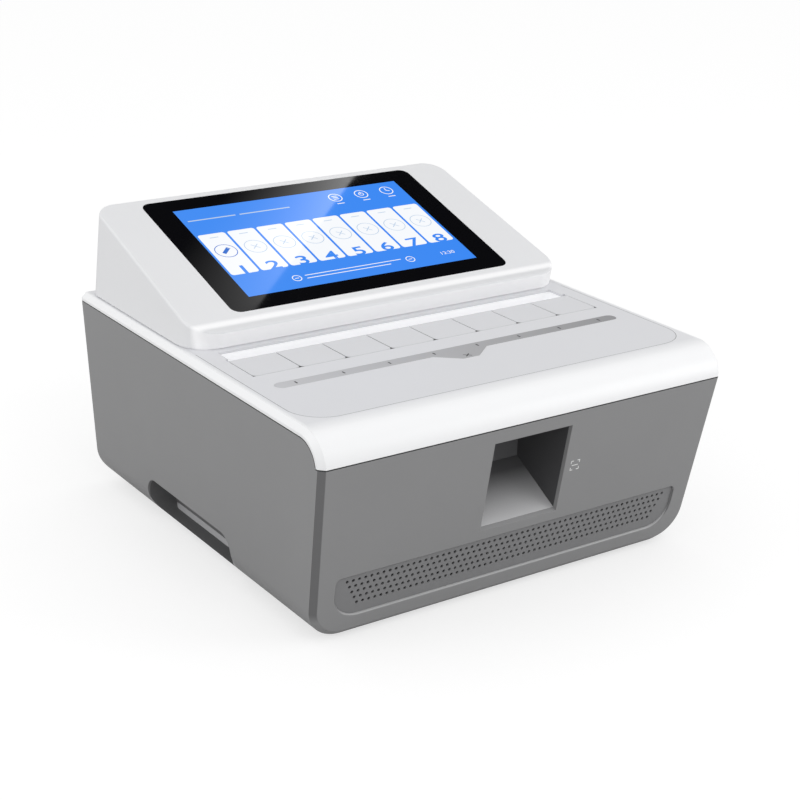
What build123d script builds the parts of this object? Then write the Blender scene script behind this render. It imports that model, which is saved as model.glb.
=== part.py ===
from build123d import *
from math import atan, cos, radians, sin, sqrt, tan
import os

# A bench real-time PCR machine with eight sample lanes under hinged lids,
# a touch display on a wedge at the rear and a scan window in the front.
# X runs to the right, Y to the back and Z up, in millimetres.
# The origin is on the bench, under the middle of the body.

# Body envelope
body_width = 364.0
body_depth = 374.0
foot_stand_off = 3.0
deck_height = 166.6
front_seam_height = 143.3
cover_band = 6.5
roll_radius = 25.0
side_lean_deg = 3.15
front_rake_deg = 10.5
corner_chamfer = 4.3
bottom_corner_radius = 29.0
rear_bottom_radius = 22.0
rear_corner_radius = 5.0
wall = 3.0
seam_gap = 0.5
seam_gap_depth = 1.2
tongue_thickness = 1.6
tongue_height = 1.4
fit_gap = 0.15
seat_gap = 0.3

# Deck
deck_panel_thickness = 2.0
deck_plate_thickness = 3.0
deck_panel_half_width = 173.7
deck_panel_front = 29.6
deck_panel_corner = 28.0
deck_panel_under_display = 26.0

# Lanes and their lids
lane_count = 8
lane_pitch = 40.0
lid_gap = 0.8
lid_front = 126.9
lid_length = 37.6
lid_plate = 2.4
lid_corner = 3.6
lid_rim = 0.5
lid_skirt = 1.6
lid_skirt_depth = 4.0
lid_skirt_inset = 0.6
lid_barrel_length = 26.0
barrel_radius = 3.0
hinge_rod_radius = 1.5
hinge_play = 0.05
hinge_inset = 3.8
hinge_depth = 6.5
ear_width = 8.0
lid_open_deg = 100.0
trough_width = 20.6
trough_depth = 13.5
trough_half_width = 157.6
trough_end_back_set = 4.2
tray_wall = 2.0
well_depth = 22.0
well_divider = 5.0
divider_top_depth = 7.0
well_rear_wall = 2.0
pad_width = 24.0
pad_length = 16.0
pad_gap = 0.6
pad_thickness = 3.0
latch_tongue_width = 8.0
latch_tongue_length = 6.0
latch_tongue_thickness = 1.8
latch_tongue_set_back = 0.8
latch_slot_depth = 12.0
latch_slot_height = 5.0
latch_body_length = 10.0
rod_end_cover = 0.6
tray_flange = 6.0
tray_flange_thickness = 2.0
ear_round = 0.2
web_clearance = 3.5

# Thermal parts under each lane
block_height = 20.0
block_entry = 2.0
block_seat_depth = 3.0
block_seat_length = 12.0
block_seat_width = 18.0
peltier_thickness = 3.8
peltier_inset = 2.0
sink_base = 8.0
sink_fin_height = 26.0
sink_fin_thickness = 1.6
sink_fin_count = 33
sink_fin_margin = 25.0
sink_half_width = 158.0
sink_front_reach = 26.0
optics_width = 18.0
optics_length = 16.0
optics_height = 20.0
optics_lens_radius = 4.0
optics_lens_length = 2.5

# Status light bar
bar_front = 95.3
bar_depth = 11.0
bar_half_width = 157.0
bar_tab_reach = 14.6
bar_tab_base = 26.0
bar_tab_tip = 7.3
bar_flange = 2.0
light_board_thickness = 1.6

# Display wedge
screen_tilt_deg = 17.07
display_front = 191.2
display_half_width = 176.1
display_lean_deg = 5.5
display_corner_radius = 25.0
display_rear_radius = 18.0
display_edge_fillet = 2.2
plinth_inset = 1.2
plinth_height = 0.8
plinth_thickness = 1.6
active_bottom = 223.66
active_bottom_height = 192.06
active_width = 218.0
active_length = 132.2
glass_width = 262.0
glass_length = 166.3
glass_below_active = 17.5
glass_corner = 8.3
glass_thickness = 1.5
glass_sunk = 0.1
module_width = 229.5
module_length = 149.0
module_thickness = 6.0
bracket_margin = 9.0
bracket_thickness = 1.2
bracket_window_margin = 34.0
display_screw_half_spacing = 120.0
display_screw_spacing = 105.0
display_screw_back = 22.0
display_boss_radius = 5.0

# Scan recess in the front face
scan_half_width = 35.3
scan_bottom_height = 57.8
scan_top_height = 131.4
scan_depth = 53.7
scan_back_half_width = 26.0
scan_back_bottom_height = 91.4
scan_back_top_height = 119.0
funnel_wall = 2.0
funnel_flange = 8.0
scan_window_thickness = 2.0
scan_window_margin = 3.0
scanner_length = 26.0

# Intake grille in the front face
grille_half_width = 156.5
grille_top_height = 49.2
grille_bottom_height = 15.6
grille_bottom_corner = 20.8
grille_top_corner = 3.5
grille_edge_fillet = 1.5
grille_recess = 1.8
grille_flange = 4.0
grille_flange_thickness = 1.6
hole_size = 2.1
hole_pitch = 5.15
hole_row_pitch = 5.0
hole_rows = 5
hole_first_row = 58
hole_top_margin = 4.9

# Hand grips in the lower side edges
grip_centre = 208.0
grip_length = 138.0
grip_top_height = 37.4
grip_bottom_height = 8.0
grip_depth = 24.0
grip_corner = 14.0
grip_ledge_deg = 45.0
grip_ledge_depth = 2.6
grip_liner = 2.5

# Feet and fasteners
foot_radius = 9.0
foot_inset_x = 52.0
foot_inset_front = 62.0
foot_inset_back = 40.0
foot_recess = 1.5
screw_radius = 1.5
screw_play = 0.05
screw_head_radius = 2.8
screw_head_height = 1.8
post_radius = 5.0
post_bore_radius = 3.4
post_inset_x = 32.0
post_front = 58.0
post_back = 26.0
cover_boss_length = 22.0
case_screw_length = 16.0

# Rear panel and what it carries
rear_recess = 3.0
rear_panel_thickness = 1.5
rear_panel_half_width = 150.0
rear_panel_bottom = 20.0
rear_panel_top = 150.0
rear_flange = 8.0
rear_flange_thickness = 3.0
fan_size = 80.0
fan_depth = 25.0
fan_x = 72.0
fan_height = 88.0
fan_hub_radius = 17.0
fan_bore_radius = 38.0
fan_tip_gap = 1.2
fan_blades = 7
fan_shaft_radius = 1.5
fan_play = 0.04
vent_slot_width = 3.0
vent_slot_pitch = 6.0
inlet_x = -112.0
inlet_height = 52.0
inlet_width = 27.0
inlet_length = 19.5
inlet_depth = 22.0
inlet_cavity_depth = 16.0
inlet_flange_width = 49.0
inlet_flange_length = 26.0
inlet_flange_thickness = 1.6
inlet_screw_spacing = 40.0
inlet_pin_recess = 5.2
switch_x = -62.0
switch_width = 15.0
switch_length = 21.0
switch_wall = 1.4
switch_depth = 18.0
rocker_tilt_deg = 8.0
rocker_play = 0.05
rocker_pin_radius = 1.2
network_x = 2.0
usb_x = 24.0
port_proud = 0.6

# Inside the body
chassis_thickness = 1.5
chassis_lift = 9.0
chassis_half_width = 118.0
chassis_front = 60.0
chassis_back = 332.0
chassis_flange = 12.0
frame_thickness = 2.0
frame_depth = 44.0
frame_foot = 12.0
supply_width = 92.0
supply_length = 104.0
supply_height = 40.0
supply_x = -66.0
supply_back = 296.0
board_width = 128.0
board_length = 222.0
board_thickness = 1.6
board_lift = 15.0
board_x = 50.0

# Places worked out from the sizes above
front_y = -body_depth / 2
back_y = body_depth / 2
bottom_z = foot_stand_off
deck_z = bottom_z + deck_height
front_seam_z = bottom_z + front_seam_height
side_seam_z = deck_z - cover_band
side_slope = tan(radians(side_lean_deg))
rake = tan(radians(front_rake_deg))
roll_z = deck_z - roll_radius
roll_y = front_y + sqrt(roll_radius**2 - (front_seam_z - roll_z) ** 2)
tilt = radians(screen_tilt_deg)
lid_front_y = front_y + lid_front
lid_rear_y = lid_front_y + lid_length
lid_width = lane_pitch - lid_gap
hinge_y = lid_rear_y - hinge_inset
hinge_z = deck_z - hinge_depth
trough_back_y = lid_rear_y + trough_width
trough_floor_z = deck_z - trough_depth
lanes_half_width = lane_count * lane_pitch / 2 + 0.2
tray_top_z = deck_z - deck_panel_thickness
well_floor_z = deck_z - well_depth
well_front_y = lid_front_y - lid_rim
well_rear_y = hinge_y - barrel_radius - web_clearance
rod_half = lanes_half_width + tray_wall - rod_end_cover
plate_bottom_z = tray_top_z - deck_plate_thickness
block_top_z = well_floor_z + block_entry
block_bottom_z = block_top_z - block_height
sink_top_z = block_bottom_z - peltier_thickness
sink_bottom_z = sink_top_z - sink_base - sink_fin_height
bar_front_y = front_y + bar_front
bar_back_y = bar_front_y + bar_depth
display_front_y = front_y + display_front
rear_face_y = back_y - rear_recess
rear_seat_y = rear_face_y - rear_panel_thickness
chassis_z = bottom_z + wall + chassis_lift
chassis_front_y = front_y + chassis_front
chassis_back_y = front_y + chassis_back

# Planes that pieces are drawn on
front_plane = Plane(
    origin=(0, front_y, front_seam_z),
    x_dir=(1, 0, 0),
    z_dir=(0, -cos(radians(front_rake_deg)), -sin(radians(front_rake_deg))),
)
screen_plane = Plane(
    origin=(0, front_y + active_bottom, bottom_z + active_bottom_height),
    x_dir=(1, 0, 0),
    z_dir=(0, -sin(tilt), cos(tilt)),
)

# Places of screws and bosses
rear_low_z = bottom_z + rear_panel_bottom
rear_high_z = bottom_z + rear_panel_top
rear_screw_places = [
    (side * (rear_panel_half_width - rear_flange / 2), z)
    for side in (-1, 1)
    for z in (rear_low_z + rear_flange / 2, (rear_low_z + rear_high_z) / 2, rear_high_z - rear_flange / 2)
]
chassis_boss_places = [
    (side * (chassis_half_width - 10), y)
    for side in (-1, 1)
    for y in (chassis_front_y + 12, chassis_back_y - 12)
]
display_screw_places = [
    (side * display_screw_half_spacing, y)
    for side in (-1, 1)
    for y in (back_y - display_screw_back - display_screw_spacing, back_y - display_screw_back)
]

pieces = {}


def block(x0, x1, y0, y1, z0, z1):
    """A box between two corners."""
    centre = Pos((x0 + x1) / 2, (y0 + y1) / 2, (z0 + z1) / 2)
    return centre * Box(x1 - x0, y1 - y0, z1 - z0)


def rod_x(radius, x0, x1, y, z):
    """A round bar along X."""
    return Pos((x0 + x1) / 2, y, z) * Rot(0, 90, 0) * Cylinder(radius, x1 - x0)


def rod_y(radius, y0, y1, x, z):
    """A round bar along Y."""
    return Pos(x, (y0 + y1) / 2, z) * Rot(90, 0, 0) * Cylinder(radius, y1 - y0)


def rod_z(radius, z0, z1, x, y):
    """An upright round bar."""
    return Pos(x, y, (z0 + z1) / 2) * Cylinder(radius, z1 - z0)


def along_x(face, x0, x1):
    """Extrude a face drawn in Y and Z between two X places."""
    return extrude(Plane.YZ.offset(x0) * face, x1 - x0)


def along_y(face, y0, y1):
    """Extrude a face drawn in X and Z between two Y places."""
    return extrude(Plane.XZ.offset(-y0) * face, -(y1 - y0))


def front_s(height):
    """Distance along the raked front face from its seam to a height above the body's bottom."""
    return (height - front_seam_height) / cos(radians(front_rake_deg))


def lane_x(lane):
    """Centre of a lane, counted from 0 at the left."""
    return (lane - (lane_count - 1) / 2) * lane_pitch


def half_width_at(z):
    """Half of the body's width at a level."""
    return body_width / 2 - side_slope * (side_seam_z - z)


def body_section(inset):
    """The body seen from the front, with sides that lean and round lower corners."""
    low = bottom_z + inset
    high = deck_z - inset
    outline = Polyline(
        (-half_width_at(low) + inset, low),
        (half_width_at(low) - inset, low),
        (half_width_at(high) - inset, high),
        (-half_width_at(high) + inset, high),
        close=True,
    )
    face = make_face(outline)
    return fillet(face.vertices().group_by(Axis.Y)[0], bottom_corner_radius - inset)


def body_profile(inset):
    """The body seen from the side: raked front, rolled top edge and upright back."""
    radius = roll_radius - inset
    low = bottom_z + inset
    high = deck_z - inset
    seam_y = roll_y - sqrt(radius**2 - (front_seam_z - roll_z) ** 2)
    foot_y = seam_y + (front_seam_z - low) * rake
    middle = (roll_y - radius * sin(radians(48)), roll_z + radius * cos(radians(48)))
    lower = Polyline(
        (roll_y, high),
        (back_y - inset, high),
        (back_y - inset, low),
        (foot_y, low),
        (seam_y, front_seam_z),
    )
    roll = ThreePointArc((seam_y, front_seam_z), middle, (roll_y, high))
    face = make_face(lower + roll)
    rear_corner = face.vertices().group_by(Axis.Y)[0].sort_by(Axis.X)[-1]
    return fillet(rear_corner, rear_bottom_radius - inset)


def body_block(inset):
    """The closed body form, drawn in from its outer skin by an inset."""
    across = along_y(body_section(inset), front_y, back_y)
    along = along_x(body_profile(inset), -body_width, body_width)
    return across & along


def seam_region(drop):
    """All that lies below the line where the white cover meets the grey housing."""
    radius = roll_radius - cover_band - drop
    seam_y = roll_y - radius
    level = roll_z + radius
    low_z = front_seam_z - drop
    middle = (roll_y - radius * sin(radians(48)), roll_z + radius * cos(radians(48)))
    reach = body_depth
    lower = Polyline(
        (roll_y, level),
        (reach, level),
        (reach, -reach),
        (-reach, -reach),
        (-reach, low_z),
        (seam_y, low_z),
        (seam_y, roll_z),
    )
    roll = ThreePointArc((seam_y, roll_z), middle, (roll_y, level))
    return along_x(make_face(lower + roll), -body_width, body_width)


def chamfered_body():
    """The outer form with its chamfered front and deck side edges."""
    form = body_block(0)
    side_faces = form.faces().filter_by(lambda f: abs(f.normal_at().X) > 0.9)
    edges = [
        edge
        for face in side_faces
        for edge in face.edges()
        if edge.center().Y < front_y + 40 or edge.center().Z > side_seam_z
    ]
    edges = [edge for edge in edges if edge.center().Y < back_y - 1]
    return chamfer(edges, corner_chamfer)


outer = chamfered_body()
inner = body_block(wall)
below_seam = seam_region(0)
shell = outer - inner


# Screw posts stand in the four corners of the housing, clear of lanes and grips
post_places = [
    (side * (body_width / 2 - post_inset_x), y)
    for side in (-1, 1)
    for y in (front_y + post_front, back_y - post_back)
]
post_top_z = side_seam_z - cover_boss_length
foot_places = [
    (side * (body_width / 2 - foot_inset_x), y)
    for side in (-1, 1)
    for y in (front_y + foot_inset_front, back_y - foot_inset_back)
]


def scan_rectangle(grow, back):
    """The funnel's mouth on the front plane, or its small end at the back."""
    if back:
        high = bottom_z + scan_back_top_height
        low = bottom_z + scan_back_bottom_height
        plane = Plane.XZ.offset(-(front_y + scan_depth))
        half = scan_back_half_width
    else:
        high = front_s(scan_top_height)
        low = front_s(scan_bottom_height)
        plane = front_plane
        half = scan_half_width
    corners = [
        (-half - grow, low - grow),
        (half + grow, low - grow),
        (half + grow, high + grow),
        (-half - grow, high + grow),
    ]
    return plane * make_face(Polyline(*corners, close=True))


def scan_void(grow):
    """The tapering space of the scan recess."""
    return loft([scan_rectangle(grow, False), scan_rectangle(grow, True)], ruled=True)


def grille_outline(grow):
    """The intake's outline on the front plane, with large lower corners."""
    high = front_s(grille_top_height) + grow
    low = front_s(grille_bottom_height) - grow
    half = grille_half_width + grow
    face = make_face(Polyline((-half, low), (half, low), (half, high), (-half, high), close=True))
    face = fillet(face.vertices().group_by(Axis.Y)[0], grille_bottom_corner + grow)
    return fillet(face.vertices().group_by(Axis.Y)[-1], grille_top_corner + grow)


def front_slab(face, start, end):
    """A plate parallel to the front face, between two depths behind it."""
    return extrude(front_plane.offset(-end) * face, end - start)


def grip_void(grow):
    """The finger pocket in the left side, open to the side and rounded at its ends."""
    y = front_y + grip_centre
    low = bottom_z + grip_bottom_height
    high = bottom_z + grip_top_height
    size = (grip_length + 2 * grow, high - low + 2 * grow)
    outline = Pos(y, (low + high) / 2) * RectangleRounded(*size, grip_corner + grow)
    depth = grip_depth + grow
    wall_x = -half_width_at(high)
    pocket = along_x(outline, wall_x + depth - 3 * grip_depth, wall_x + depth)
    ledge_x = wall_x + depth
    low = low - grow
    reach = 3 * grip_depth
    slope = tan(radians(grip_ledge_deg))
    ledge = make_face(
        Polyline(
            (ledge_x, low + grip_ledge_depth),
            (ledge_x, low - reach),
            (ledge_x - reach, low - reach),
            (ledge_x - reach, low + grip_ledge_depth - slope * (reach - grip_ledge_depth)),
            close=True,
        )
    )
    return pocket - along_y(ledge, y - grip_length, y + grip_length)


def lower_housing():
    """The grey tub with its leaning sides, raked front, grips, posts and rear opening."""
    body = shell & below_seam
    gap = (below_seam - seam_region(seam_gap)) - body_block(seam_gap_depth)
    body -= gap
    rim_band = seam_region(-tongue_height) - seam_region(3 * tongue_height)
    rim = body_block(wall) - body_block(wall + fit_gap + tongue_thickness)
    lip = body_block(wall + fit_gap) - body_block(wall + fit_gap + tongue_thickness)
    body += (rim & rim_band & below_seam) + (lip & rim_band)

    flange_back = rear_seat_y
    flange_front = rear_seat_y - rear_flange_thickness
    low = bottom_z + rear_panel_bottom
    high = bottom_z + rear_panel_top
    half = rear_panel_half_width
    flange = block(-half - wall, half + wall, flange_front, back_y - wall, low - wall, high + wall)
    body += flange
    body -= block(-half, half, flange_back, back_y + 1, low, high)
    window_half = half - rear_flange
    body -= block(
        -window_half, window_half, flange_front - 1, back_y, low + rear_flange, high - rear_flange
    )
    for x, z in rear_screw_places:
        body -= rod_y(screw_radius + screw_play, flange_front - 1, flange_back + 1, x, z)

    core = body_block(0)
    for x, y in post_places:
        post = rod_z(post_radius, bottom_z, post_top_z, x, y) & core
        body += post
        body -= rod_z(post_bore_radius, bottom_z - 1, post_top_z - wall, x, y)
        body -= rod_z(screw_radius + screw_play, post_top_z - wall - 1, post_top_z + 1, x, y)
    for x, y in chassis_boss_places:
        body += rod_z(post_radius, bottom_z + wall / 2, chassis_z, x, y)
        body -= rod_z(screw_radius + screw_play, bottom_z + wall, chassis_z + 1, x, y)
    for x, y in foot_places:
        body -= rod_z(foot_radius + fit_gap, bottom_z - 1, bottom_z + foot_recess, x, y)
        body -= rod_z(screw_radius + screw_play, bottom_z - 1, bottom_z + wall + 1, x, y)

    for mirror_sign in (1, -1):
        pocket = grip_void(0)
        liner = grip_void(grip_liner) & core
        if mirror_sign < 0:
            pocket = mirror(pocket, Plane.YZ)
            liner = mirror(liner, Plane.YZ)
        body += liner
        body -= pocket

    body -= scan_void(0)
    opening = front_slab(grille_outline(0), -2 * wall, wall + 1)
    body -= opening
    mouth = [
        edge
        for edge in body.edges()
        if abs(front_plane.to_local_coords(edge.center()).Z) < 0.01
        and front_s(0) + 3 < front_plane.to_local_coords(edge.center()).Y < front_s(grille_top_height) + 0.5
        and abs(edge.center().X) < grille_half_width + 1
    ]
    return fillet(mouth, grille_edge_fillet)


def scan_funnel():
    """The tapering liner of the scan recess, glued behind the front wall."""
    body = scan_void(funnel_wall) & inner
    skin = inner - body_block(wall + funnel_wall)
    flange = extrude(
        front_plane.offset(-2 * roll_radius)
        * Pos(0, (front_s(scan_top_height) + front_s(scan_bottom_height)) / 2)
        * Rectangle(
            2 * (scan_half_width + funnel_flange),
            front_s(scan_top_height) - front_s(scan_bottom_height) + funnel_flange,
        ),
        2 * roll_radius,
    )
    back_y0 = front_y + scan_depth
    back_flange = block(
        -scan_back_half_width - funnel_flange,
        scan_back_half_width + funnel_flange,
        back_y0 - funnel_wall,
        back_y0,
        bottom_z + scan_back_bottom_height - funnel_flange,
        bottom_z + scan_back_top_height + funnel_flange,
    )
    body += (skin & flange) + back_flange
    return body - scan_void(0)


def scan_window():
    """The clear plate behind the funnel's small end."""
    y = front_y + scan_depth
    margin = scan_window_margin
    return block(
        -scan_back_half_width - margin,
        scan_back_half_width + margin,
        y,
        y + scan_window_thickness,
        bottom_z + scan_back_bottom_height - margin,
        bottom_z + scan_back_top_height + margin,
    )


def scanner_module():
    """The code reader behind the window, with its round lens and two ears."""
    y = front_y + scan_depth + scan_window_thickness
    low = bottom_z + scan_back_bottom_height
    high = bottom_z + scan_back_top_height
    middle = (low + high) / 2
    ear_y = y - scan_window_thickness
    ear = scan_back_half_width + funnel_flange
    case = block(-scan_back_half_width, scan_back_half_width, y, y + scanner_length, low, high)
    ears = block(-ear, ear, y + 2, y + 4, middle - 6, middle + 6)
    feet = block(-ear, -ear + 4, ear_y, y + 2, middle - 6, middle + 6)
    feet += block(ear - 4, ear, ear_y, y + 2, middle - 6, middle + 6)
    lens = rod_y(7, y - 1, y + 3, 0, middle)
    return case + ears + feet - lens + rod_y(6, y + 0.5, y + 4, 0, middle)


def grille_holes():
    """Rows of small square holes, each row one hole shorter than the row above it."""
    places = []
    for row in range(hole_rows):
        count = hole_first_row - row
        s = front_s(grille_top_height) - hole_top_margin - row * hole_row_pitch
        for hole in range(count):
            places.append(((hole - (count - 1) / 2) * hole_pitch, s))
    with BuildSketch() as sketch:
        with Locations(*places):
            Rectangle(hole_size, hole_size, rotation=45)
    return sketch.sketch


def grille_panel():
    """The perforated plate set back in the intake opening."""
    plate = front_slab(grille_outline(-fit_gap), grille_recess, wall)
    flange = front_slab(grille_outline(grille_flange), wall, wall + grille_flange_thickness)
    holes = front_slab(grille_holes(), grille_recess - 1, wall + grille_flange_thickness + 1)
    return plate + flange - holes


def deck_outline(grow):
    """The inlaid deck panel seen from above, with round front corners."""
    half = deck_panel_half_width + grow
    low = front_y + deck_panel_front - grow
    high = front_y + display_front + deck_panel_under_display + grow
    face = make_face(Polyline((-half, low), (half, low), (half, high), (-half, high), close=True))
    return fillet(face.vertices().group_by(Axis.Y)[0], deck_panel_corner + grow)


def bar_outline(grow):
    """The light bar seen from above: a long round-ended bar with a tab at its front."""
    middle = (bar_front_y + bar_back_y) / 2
    strip = Pos(0, middle) * SlotOverall(2 * (bar_half_width + grow), bar_depth + 2 * grow)
    tab = make_face(
        Polyline(
            (-bar_tab_base - grow, bar_front_y + 1),
            (-bar_tab_tip - grow / 2, bar_front_y - bar_tab_reach - grow),
            (bar_tab_tip + grow / 2, bar_front_y - bar_tab_reach - grow),
            (bar_tab_base + grow, bar_front_y + 1),
            close=True,
        )
    )
    return strip + tab


def lane_outline(grow):
    """The lane opening seen from above: wide under the lids, a little narrower at the trough."""
    half = lanes_half_width + grow
    trough_half = trough_half_width + grow
    step_y = lid_rear_y + trough_end_back_set
    return make_face(
        Polyline(
            (-half, well_front_y - grow),
            (half, well_front_y - grow),
            (half, step_y + grow),
            (trough_half, step_y + grow),
            (trough_half, trough_back_y + grow),
            (-trough_half, trough_back_y + grow),
            (-trough_half, step_y + grow),
            (-half, step_y + grow),
            close=True,
        )
    )


def upright(face, z0, z1):
    """Extrude a face drawn from above between two levels."""
    return extrude(Plane.XY.offset(z0) * face, z1 - z0)


def top_cover():
    """The white cover that wraps over the deck, the front roll and the side edges."""
    body = shell - below_seam
    deck_frame = deck_outline(2 * wall)
    body += upright(deck_frame, plate_bottom_z, deck_z - 0.5) & inner
    body -= upright(deck_outline(fit_gap), tray_top_z, deck_z + 1)
    body -= upright(lane_outline(tray_wall + fit_gap), plate_bottom_z - 1, deck_z)
    body -= upright(bar_outline(fit_gap), plate_bottom_z - 1, deck_z)
    cable_y = front_y + display_front + deck_panel_under_display + 20
    body -= block(-40, 40, cable_y, cable_y + 50, plate_bottom_z - 1, deck_z + 1)
    for x, y in post_places:
        body += rod_z(post_radius, post_top_z, deck_z - wall + 0.5, x, y)
        body -= rod_z(screw_radius, post_top_z - 1, post_top_z + case_screw_length, x, y)
    for x, y in display_screw_places:
        body -= rod_z(screw_radius + screw_play, plate_bottom_z - 1, deck_z + 1, x, y)
    return body


def deck_panel():
    """The flush inlaid panel with openings for the lanes and the light bar."""
    body = upright(deck_outline(0), tray_top_z, deck_z)
    body -= upright(lane_outline(0), tray_top_z - 1, deck_z + 1)
    body -= upright(bar_outline(fit_gap), tray_top_z - 1, deck_z + 1)
    cable_y = front_y + display_front + deck_panel_under_display - 1
    return body & block(-body_width, body_width, front_y, cable_y, bottom_z, deck_z + 1)


def lane_tray():
    """The tray under the deck: eight wells, the hinge ears and the finger trough."""
    body = upright(lane_outline(tray_wall), trough_floor_z - tray_wall, tray_top_z)
    body += upright(lane_outline(tray_wall), well_floor_z, tray_top_z) & block(
        -body_width, body_width, front_y, well_rear_y, well_floor_z, deck_z
    )
    trough_front_y = well_rear_y
    body -= upright(lane_outline(0), trough_floor_z, deck_z) & block(
        -body_width, body_width, trough_front_y, back_y, bottom_z, deck_z
    )
    wells = block(
        -lanes_half_width,
        lanes_half_width,
        well_front_y,
        well_rear_y - well_rear_wall,
        well_floor_z - 1,
        deck_z,
    )
    body -= wells
    radius = barrel_radius + ear_round
    divider_z = deck_z - divider_top_depth
    for boundary in range(lane_count + 1):
        x = (boundary - lane_count / 2) * lane_pitch
        x0 = max(x - ear_width / 2, -lanes_half_width - tray_wall)
        x1 = min(x + ear_width / 2, lanes_half_width + tray_wall)
        d0 = max(x - well_divider / 2, -lanes_half_width - tray_wall)
        d1 = min(x + well_divider / 2, lanes_half_width + tray_wall)
        body += block(x0, x1, hinge_y - radius, hinge_y + radius, trough_floor_z - 1, hinge_z)
        body += rod_x(radius, x0, x1, hinge_y, hinge_z)
        body += block(
            d0, d1, well_front_y - 1, well_rear_y, well_floor_z, divider_z
        )
    body -= upright(lane_outline(0), divider_z, deck_z) & block(
        -body_width, body_width, front_y, well_rear_y, bottom_z, deck_z
    )
    body -= upright(lane_outline(0), hinge_z + radius, deck_z)
    bore_half = rod_half + fit_gap
    flange = upright(
        lane_outline(tray_wall + tray_flange), plate_bottom_z - tray_flange_thickness, plate_bottom_z
    )
    body += flange - upright(lane_outline(tray_wall / 2), bottom_z, deck_z)
    body -= rod_x(hinge_rod_radius + hinge_play / 2, -bore_half, bore_half, hinge_y, hinge_z)
    for lane in range(lane_count):
        x = lane_x(lane)
        body -= block(
            x - latch_tongue_width / 2 - 1,
            x + latch_tongue_width / 2 + 1,
            well_front_y - tray_wall - 1,
            well_front_y + 1,
            deck_z - latch_slot_depth,
            deck_z - latch_slot_depth + latch_slot_height,
        )
    return body


def lane_lid(lane):
    """One lid: flat plate with round front corners, skirts, latch tongue and hinge barrel."""
    x = lane_x(lane)
    half = lid_width / 2
    plate = make_face(
        Polyline(
            (x - half, lid_front_y),
            (x + half, lid_front_y),
            (x + half, lid_rear_y),
            (x - half, lid_rear_y),
            close=True,
        )
    )
    plate = fillet(plate.vertices().group_by(Axis.Y)[0], lid_corner)
    plate_z = deck_z - lid_plate
    body = upright(plate, plate_z, deck_z)
    skirt_back = hinge_y - barrel_radius - 3.0
    skirt_z = plate_z - lid_skirt_depth
    outer_x = half - lid_skirt_inset
    for side in (-1, 1):
        near = x + side * outer_x
        far = x + side * (outer_x - lid_skirt)
        x0, x1 = min(near, far), max(near, far)
        body += block(x0, x1, lid_front_y + lid_corner, skirt_back, skirt_z, deck_z - 1)
    front_skirt_y = lid_front_y + lid_skirt_inset
    body += block(
        x - outer_x + lid_corner,
        x + outer_x - lid_corner,
        front_skirt_y,
        front_skirt_y + lid_skirt,
        skirt_z,
        deck_z - 1,
    )
    barrel_half = lid_barrel_length / 2
    body += block(
        x - barrel_half,
        x + barrel_half,
        hinge_y - barrel_radius,
        hinge_y + barrel_radius,
        hinge_z,
        deck_z - 1,
    )
    body += rod_x(barrel_radius, x - barrel_half, x + barrel_half, hinge_y, hinge_z)
    body -= rod_x(hinge_rod_radius + hinge_play, x - half, x + half, hinge_y, hinge_z)
    tongue_y = front_skirt_y + lid_skirt + latch_tongue_set_back
    tongue = block(
        x - latch_tongue_width / 2,
        x + latch_tongue_width / 2,
        tongue_y,
        tongue_y + latch_tongue_thickness,
        plate_z - latch_tongue_length,
        deck_z - 1,
    )
    return body + tongue


def lid_pad(lane):
    """The soft pad under a lid that presses on the sample tube."""
    x = lane_x(lane)
    top = deck_z - lid_plate
    tongue_y = lid_front_y + lid_skirt_inset + lid_skirt + latch_tongue_set_back
    front = tongue_y + latch_tongue_thickness + pad_gap
    outline = Pos(x, front + pad_length / 2) * RectangleRounded(pad_width, pad_length, 3)
    return upright(outline, top - pad_thickness, top)


def thermal_block(lane):
    """The aluminium block that closes a well from below, with a seat for the sample."""
    x = lane_x(lane)
    half = (lane_pitch - well_divider) / 2 - seat_gap
    y0 = well_front_y + seat_gap
    y1 = well_rear_y - well_rear_wall - seat_gap
    middle = (y0 + y1) / 2
    body = block(x - half, x + half, y0, y1, block_bottom_z, block_top_z)
    seat = Pos(x, middle) * RectangleRounded(block_seat_width, block_seat_length, 2)
    return body - upright(seat, block_top_z - block_seat_depth, deck_z)


def hinge_rod():
    """The steel rod that all lids turn on."""
    return rod_x(hinge_rod_radius, -rod_half, rod_half, hinge_y, hinge_z)


def lid_latches():
    """Eight touch latches whose noses stand in the tray's front wall."""
    bodies = []
    nose_end = lid_front_y + lid_skirt_inset + lid_skirt + latch_tongue_set_back - seat_gap
    low = deck_z - latch_slot_depth + seat_gap
    high = low + latch_slot_height - 2 * seat_gap
    wall_y = well_front_y - tray_wall
    for lane in range(lane_count):
        x = lane_x(lane)
        half = latch_tongue_width / 2 + 1 - seat_gap
        nose = block(x - half, x + half, wall_y - 1, nose_end, low, high)
        case = block(x - 8, x + 8, wall_y - latch_body_length, wall_y, low - 3, high + seat_gap)
        bodies.append(nose + case)
    return Compound(children=bodies)


def status_bar():
    """The translucent light bar, flush with the deck, with a flange under the deck plate."""
    flange_z = plate_bottom_z - bar_flange
    body = upright(bar_outline(0), flange_z, deck_z)
    return body + upright(bar_outline(bar_flange), flange_z, plate_bottom_z)


def status_light_board():
    """The strip board with one light for each lane, held under the bar's flange."""
    top = plate_bottom_z - bar_flange
    y = (bar_front_y + bar_back_y) / 2
    half = bar_half_width - 4
    body = block(-half, half, y - 5, y + 5, top - light_board_thickness, top)
    for lane in range(lane_count):
        x = lane_x(lane)
        body += block(x - 2.5, x + 2.5, y - 2.5, y + 2.5, top - light_board_thickness - 2, top - 1)
    return body


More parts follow.
